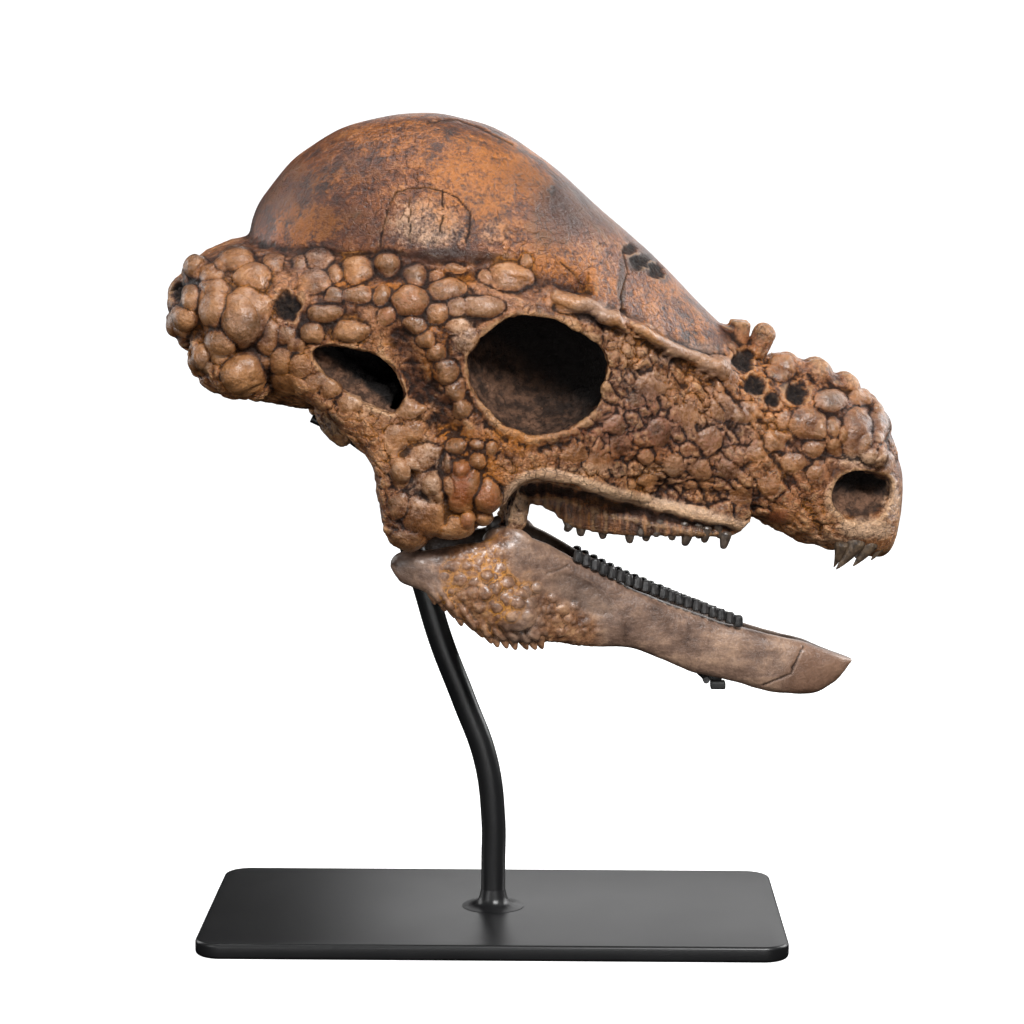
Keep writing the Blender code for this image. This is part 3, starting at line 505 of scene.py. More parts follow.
def skullForms():
    c = {name: curveThrough(line) for name, line in skull.items() if isinstance(line, list)}
    low, high = skull["snoutWidestShare"]
    cheekTop = skull["cheekTop"]
    case = {name: curveThrough(braincase[name]) for name in ("bottom", "width")}
    forms = [
        loft("dome", lambda x: (0, c["domeWidest"](x), c["domeTop"](x), c["domeWidest"](x) - skull["domeBelow"],
                                c["domeWidth"](x))),
        loft("shelf", lambda x: (0, skull["shelfWidest"], c["shelfTop"](x), c["shelfBottom"](x),
                                 c["shelfWidth"](x))),
        loft("snout", lambda x: (0, low * c["snoutBottom"](x) + high * c["snoutTop"](x), c["snoutTop"](x),
                                 c["snoutBottom"](x), c["snoutWidth"](x))),
        loft("case", lambda x: (0, skull["caseWidest"], skull["caseTop"], case["bottom"](x), case["width"](x))),
        onSide("palate", palateForm, left),
    ]
    for side in (right, left):
        forms.append(loft("cheek", lambda x: (side * c["cheekMiddle"](x), 0.5 * (c["cheekBottom"](x) + cheekTop),
                                              cheekTop, c["cheekBottom"](x), c["cheekHalf"](x)),
                          side * skull["cheekLean"]))
        forms += [onSide(name, form, side) for name, form in sideForms.items()]
        forms += [onSide(name, braincase[name], side) for name in ("tuber", "process")]
    return forms


# a cutter through the side wall: its outline is smoothed, and it narrows towards its floor
def pocketForm(side, shape):
    outline, floor, mouth, steps = shape["outline"], shape["floor"], 0.17, 4
    rim, count = [], len(outline)
    for k in range(count):
        a, b, c, d = (Vector(outline[(k + m) % count]) for m in (-1, 0, 1, 2))
        for t in (m / steps for m in range(steps)):
            rim.append(0.5 * (2 * b + (c - a) * t + (2 * a - 5 * b + 4 * c - d) * t * t
                              + (3 * b - a - 3 * c + d) * t ** 3))
    middle = sum(rim, Vector((0, 0))) / len(rim)
    verts = []
    for share, size in shape["walls"]:
        y = side * (floor + (mouth - floor) * share)
        centre = middle + Vector(shape["drift"]) * (1 - size) * 2
        verts += [(centre.x + (p.x - middle.x) * size, y, centre.y + (p.y - middle.y) * size) for p in rim]
    return addMesh("pocket", verts, ringFaces(len(shape["walls"]), len(rim)))


def skullDetails(tree):
    def knob(start, way, radius, proud):
        hit, normal, _, _ = tree.ray_cast(Vector(start), Vector(way))
        return ellipsoid("knob", hit - normal * radius * (1 - proud), (radius,) * 3)

    forms = [ellipsoid("condyle", *braincase["condyle"])]
    out, width = braincase["ledgeAt"]
    for side in (right, left):
        forms.append(tube("ledge", [(x, side * out, z) for x, z in braincase["ledge"]], width))
    forms += [onSide("process", braincase["rearProcess"], side) for side in (right, left)]
    plateBottom, platePlan = curveThrough(skull["plateBottom"]), curveThrough(skull["platePlan"])
    castFrom, out = rimKnobs["castFrom"], snoutKnobs["out"]
    for side in (right, left):
        inward = Vector((0, -side, 0))
        forms += [knob((x, side * castFrom, z), inward, r, proud) for x, z, r, proud in rimKnobs["big"]]
        forms += [knob((rimKnobs["rearFrom"], side * y, z), (1, 0, 0), r, rimKnobs["rearProud"])
                  for y, z, r in rimKnobs["rear"]]
        long, wide = snoutKnobs["pegStretch"]
        forms += [ellipsoid("peg", (x, side * y, z - snoutKnobs["pegSink"]),
                            (r * long, r * wide, snoutKnobs["pegHalf"])) for x, y, z, r in snoutKnobs["pegs"]]
        forms += [tube(name, [(x, side * out, z) for x, z in line], width)
                  for name, (line, width) in snoutKnobs["lines"].items()]
        (x, z), radius = snoutKnobs["fingerEnd"]
        forms.append(ellipsoid("fingerEnd", (x, side * out, z), (radius, radius * 0.9, radius)))
        ridge = [tree.ray_cast(Vector((x, side * castFrom, z)), inward)[0] for x, z in browRidge["line"]]
        forms.append(tube("ridge", ridge, browRidge["radius"] * 2))
        forms.append(ellipsoid("ridgeEnd", ridge[-1], browRidge["end"], browRidge["endPitch"]))
        forms.append(loft("toothPlate", lambda x: (side * platePlan(x), skull["plateWidest"], skull["plateTop"],
                                                   plateBottom(x), skull["plateHalf"])))
    return forms


# bosses as (u, v, half width, half height, proud mm)
bosses = {
    "domeRow": [
        (319, 260, 15, 11, 3), (335, 274, 8, 8, 3), (359, 270, 16, 14, 6), (389, 266, 13, 12, 6),
        (416, 276, 12, 10, 4.5), (488, 277, 10, 8, 3), (509, 277, 23, 14, 6), (526, 261, 6, 6, 3),
        (316, 281, 15, 12, 2.5), (300, 262, 8, 7, 2), (455, 268, 9, 6, 1.5), (436, 276, 8, 7, 1.5)
    ],
    "shelf": [
        (325, 314, 17, 10, 5), (312, 332, 12, 11, 4.5), (352, 331, 17, 10, 4.5), (410, 302, 19, 15, 6),
        (387, 316, 9, 8, 3), (415, 325, 11, 10, 3), (425, 340, 10, 9, 3.5), (447, 291, 20, 11, 4.5),
        (437, 313, 12, 10, 3), (457, 307, 11, 9, 3), (482, 307, 20, 11, 4.5), (335, 295, 10, 8, 2.5),
        (357, 295, 15, 8, 3), (382, 295, 9, 10, 3.5), (447, 370, 12, 12, 3.5), (457, 390, 10, 11, 3.5),
        (436, 352, 10, 9, 3), (462, 408, 9, 9, 3), (466, 340, 12, 14, 2.5), (458, 326, 12, 8, 2),
        (280, 360, 12, 15, 3), (300, 367, 13, 11, 2.5), (330, 389, 12, 9, 2), (314, 384, 10, 9, 1.8),
        (410, 410, 15, 10, 2), (350, 405, 12, 9, 1.8), (296, 345, 9, 8, 2)
    ],
    "corner": [
        (214, 302, 17, 23, 7), (247, 317, 23, 29, 8), (221, 345, 16, 16, 7), (244, 373, 21, 21, 8),
        (182, 322, 13, 15, 6), (197, 268, 12, 12, 5), (212, 276, 11, 11, 4), (236, 259, 17, 11, 4.5),
        (252, 277, 17, 15, 4), (268, 335, 12, 18, 3.5), (285, 335, 10, 9, 2), (202, 360, 12, 15, 5),
        (230, 331, 8, 8, 2.5), (286, 382, 16, 12, 2), (262, 362, 9, 10, 2.5), (192, 298, 9, 12, 3.5),
        (274, 262, 10, 8, 2), (262, 302, 9, 9, 2.5), (222, 265, 8, 6, 2.5)
    ],
    "jugal": [
        (462, 487, 17, 25, 6), (462, 470, 10, 10, 6.5), (487, 495, 13, 16, 6), (467, 519, 9, 8, 5),
        (454, 528, 20, 13, 4), (425, 517, 23, 20, 4.5), (420, 460, 15, 13, 3), (428, 483, 15, 14, 3),
        (410, 538, 18, 11, 3.5), (400, 472, 10, 16, 2.5), (430, 452, 13, 8, 2.5), (478, 461, 8, 8, 4),
        (492, 448, 6, 7, 3), (477, 444, 7, 5, 2.5), (441, 500, 9, 10, 2), (487, 519, 10, 8, 3),
        (399, 505, 11, 12, 2.5), (456, 447, 9, 7, 2.5), (448, 466, 6, 10, 3), (395, 440, 11, 14, 2),
        (412, 432, 12, 9, 2)
    ],
    "snout": [
        (740, 335, 10, 14, 3.5), (746, 352, 9, 7, 2), (767, 337, 10, 15, 4), (760, 352, 10, 9, 3.5),
        (782, 368, 13, 12, 5), (786, 354, 10, 7, 4), (808, 363, 14, 10, 5), (835, 377, 18, 11, 5.5),
        (831, 400, 16, 10, 4), (809, 424, 19, 16, 6), (833, 426, 7, 11, 3), (857, 434, 17, 24, 6),
        (880, 422, 11, 19, 5.5), (813, 448, 11, 10, 3.5), (836, 448, 9, 9, 3), (726, 381, 13, 12, 3),
        (746, 414, 16, 11, 3), (785, 420, 9, 8, 2), (775, 440, 12, 10, 2.5), (860, 398, 11, 9, 3.5),
        (792, 462, 12, 10, 2.5), (780, 516, 12, 9, 2), (770, 486, 11, 10, 1.8), (871, 457, 10, 7, 2),
        (815, 472, 9, 7, 2), (758, 452, 12, 10, 2), (885, 462, 9, 12, 2)
    ],
    "cheek": [
        (652, 385, 15, 12, 3), (685, 415, 12, 12, 2.5), (660, 432, 12, 15, 2.5), (674, 465, 10, 12, 3),
        (647, 457, 9, 7, 2.5), (620, 445, 12, 10, 2), (710, 440, 13, 12, 2), (722, 408, 12, 14, 2),
        (615, 425, 10, 9, 2), (637, 400, 9, 8, 2), (700, 470, 12, 9, 2), (728, 470, 10, 9, 2),
        (600, 460, 13, 9, 1.5), (575, 455, 12, 8, 1.5), (648, 480, 9, 6, 2), (740, 495, 12, 9, 1.8)
    ],
    "brow": [(717, 367, 19, 13, 3.5), (575, 303, 30, 9, 3), (612, 319, 16, 8, 2)],
}
tallBosses = ("domeRow", "shelf", "corner", "jugal")
# long swells and furrows: line of (u, v), half width, proud mm
strokes = {
    "trough": ([(398, 342), (410, 372), (430, 408), (450, 432)], 16, -5.5),
    "column": ([(432, 335), (440, 365), (454, 395), (466, 420)], 11, 2.5),
    "lowerRim": ([(478, 402), (500, 427), (530, 438), (568, 434), (596, 414)], 6, 1.8),
    "rimGroove": ([(486, 424), (510, 444), (540, 450), (575, 444)], 4, -1.3),
    "browOne": ([(550, 294), (585, 304), (620, 321)], 8, 2),
    "browGap": ([(552, 308), (590, 320), (618, 336)], 4, -1.5),
    "browTwo": ([(638, 329), (680, 351), (716, 366)], 6, 3), "browSplit": ([(622, 312), (630, 332)], 4, -2.5),
    "browShade": ([(640, 344), (682, 366), (712, 385)], 6, -2),
    "ridge": (
        [(502, 502), (510, 488), (527, 476), (547, 474), (570, 479), (615, 494), (665, 506), (727, 521)], 8,
        2.2
    ),
    "recess": ([(526, 490), (548, 487), (570, 492), (615, 507), (665, 519), (730, 533)], 8, -4.5),
    "snoutFold": ([(788, 476), (804, 500), (818, 532)], 7, -2.8),
    "lip": ([(828, 506), (840, 526), (858, 534), (876, 531), (890, 520)], 8, 2.6),
    "furrowOne": ([(700, 384), (722, 408), (733, 432)], 3, -1.2),
    "furrowTwo": ([(716, 378), (738, 402), (756, 432), (780, 470), (794, 495)], 3, -1.4),
    "furrowThree": ([(742, 405), (768, 428), (792, 446)], 3, -1.2),
    "furrowFour": ([(640, 372), (668, 385), (690, 384), (706, 374)], 3, -1),
    "jugalFold": ([(388, 430), (408, 462), (424, 500)], 8, -1.6),
    "jugalGap": ([(443, 455), (444, 490), (446, 520)], 4, -2.2), "rearGap": ([(186, 345), (200, 375)], 5, -3),
    "shelfGap": ([(296, 290), (300, 320), (296, 350)], 5, -1.5),
    "domeFoot": (
        [(262, 246), (300, 250), (345, 254), (372, 252), (402, 252), (430, 262), (470, 262), (500, 258)], 5, -1
    ),
}
strokeBosses = ("browOne", "browTwo")
# broken pits as (u, v, half width, half height, depth mm)
pits = [
    (287, 305, 12, 12, 3.5), (743, 361, 10, 9, 3), (755, 385, 10, 10, 3), (773, 398, 7, 7, 2.5),
    (797, 393, 10, 11, 3.5), (177, 292, 7, 10, 4), (640, 262, 9, 6, 1.6), (656, 270, 8, 7, 1.6),
    (630, 250, 6, 5, 1.2)
]
# cracks as lines of (u, v)
cracks = [
    [(398, 191), (425, 187), (442, 191), (457, 197), (472, 214), (468, 232), (465, 243)],
    [(411, 197), (410, 220), (411, 243)], [(442, 191), (443, 212), (441, 232)],
    [(398, 191), (390, 205), (384, 226), (379, 246)],
    [(427, 123), (443, 120), (457, 120), (478, 127), (497, 137), (513, 145)],
    [(624, 252), (628, 270), (622, 292), (621, 316)], [(560, 262), (575, 275), (582, 290)]
]
# outlines of regions as lines v(u)
regions = {
    "domeEdge": [
        (150, 200), (225, 232), (262, 244), (300, 250), (350, 258), (420, 266), (470, 266), (520, 258),
        (552, 288), (600, 306), (640, 322), (700, 348), (722, 346), (738, 318), (760, 280)
    ],
    "ridge": [
        (500, 504), (510, 489), (527, 477), (547, 474), (570, 479), (590, 486), (615, 494), (640, 500),
        (665, 506), (690, 512), (715, 518), (740, 526), (790, 540)
    ],
}
# stained patches as (u, v, half width, half height, strength)
stains = {
    "orange": [
        (480, 180, 80, 55, 0.75), (400, 140, 70, 25, 0.45), (560, 262, 44, 24, 0.7), (600, 285, 28, 24, 0.6),
        (450, 278, 34, 12, 0.9), (400, 290, 44, 10, 0.8), (350, 284, 25, 9, 0.8), (472, 482, 34, 48, 1.0),
        (455, 440, 28, 20, 0.8), (436, 350, 18, 44, 0.6), (660, 300, 40, 30, 0.5), (690, 330, 30, 18, 0.5),
        (745, 370, 45, 28, 0.7), (780, 400, 60, 40, 0.45), (520, 275, 16, 10, 0.7), (310, 225, 50, 22, 0.6),
        (640, 460, 50, 22, 0.35), (700, 480, 30, 20, 0.35), (510, 440, 38, 16, 0.8), (745, 533, 8, 6, 0.8),
        (250, 385, 24, 12, 0.5), (560, 300, 30, 8, 0.5), (340, 180, 50, 20, 0.35), (520, 235, 40, 25, 0.5)
    ],
    "grey": [
        (640, 420, 70, 50, 0.5), (725, 430, 50, 40, 0.5), (690, 470, 60, 26, 0.45), (480, 305, 34, 12, 0.6),
        (680, 352, 60, 14, 0.8), (716, 366, 24, 14, 1.0), (640, 380, 40, 18, 0.5), (832, 400, 18, 11, 1.0),
        (420, 470, 40, 40, 0.45), (690, 420, 60, 30, 0.5), (250, 320, 30, 30, 0.25), (590, 312, 40, 12, 0.9),
        (620, 345, 40, 20, 0.5), (395, 420, 25, 20, 0.4), (318, 258, 8, 6, 0.7)
    ],
    # dark: dark mottles and marks over pits and cracks, with painted shade in the trough, the rear gap and along
    # the dome's foot
    "dark": [
        (440, 255, 40, 8, 0.8), (480, 258, 30, 8, 0.7), (560, 215, 45, 40, 0.6), (350, 225, 60, 24, 0.45),
        (643, 262, 18, 12, 0.9), (622, 285, 5, 30, 0.8), (520, 180, 30, 20, 0.35), (360, 170, 40, 20, 0.3),
        (290, 190, 30, 40, 0.35), (436, 400, 14, 24, 0.3), (743, 361, 11, 9, 1.0), (755, 385, 11, 10, 1.0),
        (773, 398, 8, 7, 0.9), (797, 393, 10, 11, 1.0), (832, 401, 13, 8, 0.55), (287, 305, 13, 13, 1.0),
        (177, 292, 8, 11, 1.0), (205, 365, 14, 12, 0.6), (240, 250, 18, 6, 0.6), (330, 425, 14, 14, 0.8),
        (418, 360, 14, 20, 0.3), (700, 240, 50, 20, 0.3), (600, 225, 30, 20, 0.5)
    ],
    # pale: pale bone, and on the dome's cracked patch a lighter tone that is partly the patch's own colour and
    # partly painted highlight
    "pale": [
        (425, 470, 34, 46, 0.28), (866, 462, 34, 10, 0.5), (425, 222, 46, 30, 0.55), (495, 232, 18, 18, 0.4),
        (620, 470, 60, 8, 0.5), (862, 528, 40, 13, 1.0), (890, 500, 14, 30, 0.8), (517, 505, 20, 26, 0.9),
        (462, 335, 14, 24, 0.4), (372, 395, 30, 24, 0.5), (835, 540, 34, 12, 0.5), (838, 500, 14, 24, 0.7)
    ],
    "red": [
        (462, 470, 14, 14, 0.9), (461, 490, 15, 24, 1.0), (487, 496, 14, 18, 0.9), (467, 519, 9, 9, 0.9),
        (640, 430, 60, 40, 0.45), (720, 450, 50, 30, 0.35), (770, 335, 36, 30, 0.5), (800, 500, 40, 30, 0.35),
        (620, 470, 30, 20, 0.35), (410, 303, 16, 13, 0.4), (388, 316, 9, 8, 0.5), (780, 516, 14, 10, 0.7),
        (280, 230, 40, 24, 0.4), (550, 432, 60, 8, 0.7)
    ],
}
relief = {
    "sideShift": 0.37, "hollowDepth": (0.003, 0.012), "outerDepth": (0.003, 0.007), "facing": (0.05, 0.3),
    "domeFade": (-8, 6), "domeUneven": (7, 0.018), "domeFoot": (0.47, 0.50), "bend": (2.4, 0.011), "wobble": 0.006,
    "ridgeHalf": (4, 10), "ridgeSpan": (498, 512, 735, 770), "ridgeOut": (0.02, 0.05),
    "plateGap": (5, 9), "plateSpan": (520, 535, 742, 752), "plateGrooves": (0.0035, 0.0009),
    "strokeEdge": (0.1, 1.3), "lipShare": 0.5, "bossTall": 0.00135, "bossLow": 0.00095, "bossEdge": 2.2,
    "pitWide": 1.15, "pitWobble": 2, "pitFloor": (1.5, 1.3, 0.0032),
    "warp": (0.014, 0.0045), "cobble": 0.0125, "cobbleProud": 0.0024, "pebble": 0.0058, "pebbleProud": 0.0010,
    "wrinkle": 0.0060, "wrinkleProud": 0.0007, "lump": 0.015, "lumpProud": 0.0018,
    "domeSwell": 0.022, "domeSwellProud": 0.0004, "crackDepth": 0.0008, "crackEdge": (0.3, 1.44),
    "crackWobble": (1.8, 1.2), "orbitRough": 0.0038, "pegStart": (0.175, 0.185), "pegRise": (-0.002, 0.004),
    "beakU": (822, 842), "beakV": (452, 472), "beakLean": (0.25, 500),
    "leatherU": (560, 610), "leatherFront": (760, 800), "leatherV": (320, 380), "leatherTop": (0, 18),
}
# the lit part of a hollow's floor: strength, slope, corner (u, v), soft edge, and where it starts and ends
litFloors = {"orbit": (0.62, 0.75, (485, 375), (-10, 60), (440, 460, 600, 640)),
             "fenestra": (1.5, 0.78, (330, 360), (-6, 6), (0, 1, 410, 430))}
# painted light on the naris's floor: strength, and where it rises in u and v
narisLitFloor = {"strength": 0.8, "u": (800, 830), "v": (480, 508)}


def lineDistance(u, v, line, reach=30):
    best = np.full(len(u), 1e3)
    ends = np.array(line)
    low, high = ends.min(0) - reach, ends.max(0) + reach
    held = np.nonzero((u > low[0]) & (u < high[0]) & (v > low[1]) & (v < high[1]))[0]
    for (ax, ay), (bx, by) in zip(line, line[1:]):
        dx, dy = bx - ax, by - ay
        t = np.clip(((u[held] - ax) * dx + (v[held] - ay) * dy) / (dx * dx + dy * dy), 0, 1)
        best[held] = np.minimum(best[held], np.hypot(u[held] - ax - t * dx, v[held] - ay - t * dy))
    return best


def stainAt(co, u, v, patches):
    worn = 0.35 * cloudy(co, 0.02, 4, 101)
    total = np.zeros(len(co))
    for su, sv, ru, rv, strength in patches:
        held = np.nonzero((abs(u - su) < 1.7 * ru) & (abs(v - sv) < 1.7 * rv))[0]
        far = np.hypot((u[held] - su) / ru, (v[held] - sv) / rv) + worn[held]
        total[held] = np.maximum(total[held], strength * (1 - ease(0.45, 1.25, far)))
    return total


# a rounded boss where the ray through (bu, bv) meets the surface, and none behind it
def bossShape(co, u, v, bu, bv, ru, rv, tree):
    hit = tree.ray_cast(*frameRay(bu, bv))[0]
    shape = np.zeros(len(co))
    if hit is None:
        return shape
    held = np.nonzero((abs(u - bu) < 1.15 * ru) & (abs(v - bv) < 1.15 * rv))[0]
    reach = max(ru, rv) * 0.00083  # metres for a unit of the frame
    near = 1 - ease(reach * 1.8, reach * 3.2, np.linalg.norm(onRight(co[held]) - np.array(hit), axis=1))
    q = np.hypot((u[held] - bu) / ru, (v[held] - bv) / rv) / 1.1
    shape[held] = near * np.clip(1 - q ** 2.3, 0, 1) ** 0.85
    return shape


def stones(points, size, seed, edge, even):
    near, second, pick = cobbles(points, size, seed)
    return ease(0.0, edge, second - near) * (even + (1 - even) * pick) - even * near


def sculptSkull(obj, tree):
    mesh, r = obj.data, relief
    co, no, edges = readCo(mesh), readNormals(mesh), readEdges(mesh)
    no = blur(no, edges, 4)
    no /= np.linalg.norm(no, axis=1)[:, None]
    x, y, z = co.T
    u, v = toFrame(co)
    mirrored = np.stack([x, abs(y), z], 1) + np.where(y > 0, r["sideShift"], 0.0)[:, None]
    inset = np.zeros(len(co))
    for i, p in enumerate(co):
        near, normal, _, _ = tree.find_nearest(p)
        inset[i] = (near - Vector(p)).dot(normal)

    # which part of the surface each point belongs to, as shares from 0 to 1
    hollow = ease(*r["hollowDepth"], inset)
    outward = 1 - ease(*r["outerDepth"], inset)
    uneven = r["domeUneven"][0] * cloudy(mirrored, r["domeUneven"][1], 4, 85)
    belowDome = v - lineAt(regions["domeEdge"], u)
    belowRidge = v - lineAt(regions["ridge"], u)
    dome = (1 - ease(*r["domeFade"], belowDome + uneven)) * ease(*r["domeFoot"], z)
    ridge = (1 - ease(*r["ridgeHalf"], abs(belowRidge))) * window(r["ridgeSpan"], u) * ease(*r["ridgeOut"], abs(y))
    plate = ease(*r["plateGap"], belowRidge) * window(r["plateSpan"], u) * outward
    rough = np.clip(1 - dome - ridge - plate, 0, 1) * outward
    dome *= outward
    peg = ease(*r["pegRise"], z - lineAt(skull["snoutTop"], x)) * ease(*r["pegStart"], x)
    lean, leanFrom = r["beakLean"]
    beak = ease(*r["beakU"], u - lean * (v - leanFrom)) * ease(*r["beakV"], v)
    front = ease(*r["leatherU"], u)
    leathery = front * (1 - 0.45 * ease(*r["leatherFront"], u))
    leathery += (0.22 + 0.35 * ease(*r["leatherV"], v)) * (1 - front)
    leathery *= ease(*r["leatherTop"], belowDome)

    # swells, bosses, pits and cracks, each at its own place
    pull, size = r["bend"]
    bentU, bentV = u + pull * noise(mirrored, size, 81), v + pull * noise(mirrored, size, 82)
    outside = outward * ease(*r["facing"], np.where(y > 0, 1, -1) * no[:, 1])
    wobble = noise(co, r["wobble"], 41)
    boss, proud = np.zeros(len(co)), np.zeros(len(co))
    for name, (line, half, amount) in strokes.items():
        shape = outside * (1 - ease(*r["strokeEdge"], lineDistance(bentU, bentV, line, 2 * half) / half))
        proud = proud + 0.001 * amount * shape * (r["lipShare"] if name == "lip" else 1)
        if name in strokeBosses:
            boss = np.maximum(boss, shape)
    swells = proud.copy()
    for name, row in bosses.items():
        tall = r["bossTall"] if name in tallBosses else r["bossLow"]
        for bu, bv, ru, rv, height in row:
            swell = bossShape(co, bentU, bentV, bu, bv, ru, rv, tree)
            boss = np.maximum(boss, np.minimum(1, r["bossEdge"] * swell))
            proud = np.maximum(proud, swells + swell * height * tall)
    deep, broken = np.zeros(len(co)), np.zeros(len(co))
    for bu, bv, ru, rv, depth in pits:
        shift, wide = r["pitWobble"] * wobble, r["pitWide"]
        sunk = bossShape(co, bentU + shift, bentV + shift, bu, bv, wide * ru, wide * rv, tree)
        broken = np.maximum(broken, sunk)
        deep = np.maximum(deep, sunk * depth * 0.001)
    even, ragged, size = r["pitFloor"]
    deep *= even + ragged * cloudy(co, size, 3, 5, 0.6)
    crack = np.zeros(len(co))
    du, dv = r["crackWobble"]
    for line in cracks:
        gap = lineDistance(u + du * wobble, v + dv * wobble, line)
        crack = np.maximum(crack, 1 - ease(*r["crackEdge"], gap))
    crack *= outward

    # cobbles, wrinkles and lumps in between
    size, pull = r["warp"]
    bent = mirrored + pull * np.stack([cloudy(mirrored, size, 3, seed) for seed in (91, 92, 93)], 1)
    slant = np.stack([0.62 * (bent[:, 0] * 0.8 - bent[:, 2] * 0.6), bent[:, 1],
                      bent[:, 2] * 0.8 + bent[:, 0] * 0.6], 1)
    cobble = stones(slant, r["cobble"], 11, 0.30, 0.35)
    pebble = stones(slant, r["pebble"], 23, 0.35, 0.3)
    face = rough * (1 - 0.75 * boss) * (1 - broken) * (1 - 0.9 * peg) * (1 - 0.85 * beak)
    move = face * leathery * (r["cobbleProud"] * (cobble - 0.3) + r["pebbleProud"] * (pebble - 0.3))
    folded = rough * (1 - 0.8 * beak) * (0.35 + 0.65 * leathery) * (1 - 0.7 * boss)
    move = move - folded * r["wrinkleProud"] * (creased(slant, r["wrinkle"], 3, 31) - 0.5)
    move = move + face * r["lumpProud"] * cloudy(bent, r["lump"], 3, 33, 0.45)
    move = move + dome * outward * r["domeSwellProud"] * cloudy(co, r["domeSwell"], 4, 3)
    move = move + proud - deep - r["crackDepth"] * crack
    size, high = r["plateGrooves"]
    move = move + plate * high * noise(np.stack([x, z * 0.12, y * 0.1], 1), size, 51)
    caked = cloudy(co, 0.011, 4, 61, 0.65) + 0.8 * (0.5 - creased(co, 0.008, 3, 63))
    move = move + hollow * r["orbitRough"] * caked
    done = co + no * move[:, None]

    broad = blur(done, edges, 18)
    fine = sunkBelow(done, no, blur(done, edges, 3), 0.00025)
    wide = sunkBelow(done, no, broad, 0.0010)
    cavity = sunkBelow(done, no, blur(broad, edges, 45), 0.0022)
    bore = np.maximum(hollow, 1 - outward)
    # painted light: the lit parts of the holes' floors, which the material lays lighter than the painted shade
    # inside the holes
    floor = narisLitFloor["strength"] * bore * ease(*narisLitFloor["u"], u) * ease(*narisLitFloor["v"], v)
    for name, (strength, slope, (fu, fv), edge, span) in litFloors.items():
        inside = hollow if name == "orbit" else bore
        floor += strength * inside * (1 - ease(*edge, slope * (u - fu) - (v - fv))) * window(span, u)
    finishRelief(mesh, done, {
        "cavity": np.clip(0.5 + 0.5 * cavity, 0, 1),
        "crease": np.clip(0.5 + 0.5 * (0.5 * fine + 0.75 * wide), 0, 1),
        "hollow": np.clip(hollow, 0, 1), "boss": boss, "dome": dome, "ridge": ridge, "plate": plate,
        "broken": np.clip(np.maximum(1.6 * broken, 0.75 * crack), 0, 1), "floor": np.clip(floor, 0, 1),
        **{name: stainAt(co, u, v, patches) for name, patches in stains.items()},
    })
    print("skull relief", len(co), "points")
    return obj


partGrid = 0.006  # the mesh over a cut


# an even mesh over the cut, so that it keeps to the seam when the shear is undone
def closeCut(bm, rim, axis):
    flat = [k for k in range(3) if k != axis]
    corners = list({v for e in rim for v in e.verts})
    index = {v: i for i, v in enumerate(corners)}
    loop = np.array([[v.co[flat[0]], v.co[flat[1]]] for v in corners])
    ends = np.array([[index[e.verts[0]], index[e.verts[1]]] for e in rim])
    low, high = loop.min(0), loop.max(0)
    grid = [np.arange(low[k] + partGrid / 2, high[k], partGrid) for k in (0, 1)]
    inner = np.stack(np.meshgrid(*grid), 2).reshape(-1, 2)
    inner = inner[insideLoop(inner, loop, ends)]
    points = [Vector(p) for p in np.concatenate([loop, inner])]
    found, _, faces, origin, _, _ = mathutils.geometry.delaunay_2d_cdt(
        points, [tuple(map(int, e)) for e in ends], [], 0, 1e-9)
    place = np.array([tuple(p) for p in found])
    middle = np.array([place[list(f)].mean(0) for f in faces])
    keep = insideLoop(middle, loop, ends)
    verts = []
    for p, source in zip(place, origin):
        known = [k for k in source if k < len(corners)]
        if known:
            verts.append(corners[known[0]])
        else:
            at = [0.0, 0.0, 0.0]
            at[flat[0]], at[flat[1]] = p
            verts.append(bm.verts.new(at))
    for f, used in zip(faces, keep):
        chosen = [verts[k] for k in f]
        if used and len(set(chosen)) == 3 and bm.faces.get(chosen) is None:
            bm.faces.new(chosen).smooth = False
    for e in rim:
        e.smooth = False
    bmesh.ops.delete(bm, geom=[v for v in verts if not v.link_faces], context="VERTS")


def insideLoop(points, loop, ends):
    a, b = loop[ends[:, 0]], loop[ends[:, 1]]
    inside = np.zeros(len(points), bool)
    for start in range(0, len(points), 2000):
        p = points[start:start + 2000]
        x, y = p[:, 0][:, None], p[:, 1][:, None]
        spans = (a[:, 1] > y) != (b[:, 1] > y)
        with np.errstate(divide="ignore", invalid="ignore"):
            crossing = a[:, 0] + (y - a[:, 1]) / (b[:, 1] - a[:, 1]) * (b[:, 0] - a[:, 0])
        inside[start:start + 2000] = (np.sum(spans & (x < crossing), 1) % 2) == 1
    return inside


# a mesh is sheared so that a seam becomes a plane, cut there and closed
def part(obj, axis, seam, along):
    mesh = obj.data
    co = readCo(mesh)
    co[:, axis] -= lineAt(seam, co[:, along])
    writeCo(mesh, co)
    normal = Vector([float(k == axis) for k in range(3)])
    made = []
    for name, clearOuter in (("low", True), ("high", False)):
        bm = bmesh.new()
        bm.from_mesh(mesh)
        cut = bmesh.ops.bisect_plane(bm, geom=bm.verts[:] + bm.edges[:] + bm.faces[:], dist=1e-7,
                                     plane_co=(0, 0, 0), plane_no=normal, clear_outer=clearOuter,
                                     clear_inner=not clearOuter)
        rim = [e for e in cut["geom_cut"] if isinstance(e, bmesh.types.BMEdge) and len(e.link_faces) == 1]
        if rim:
            closeCut(bm, rim, axis)
        bmesh.ops.recalc_face_normals(bm, faces=bm.faces[:])
        made.append(fromBmesh(name, bm))
        back = readCo(made[-1].data)
        back[:, axis] += lineAt(seam, back[:, along])
        writeCo(made[-1].data, back)
    bpy.data.objects.remove(obj)
    return made


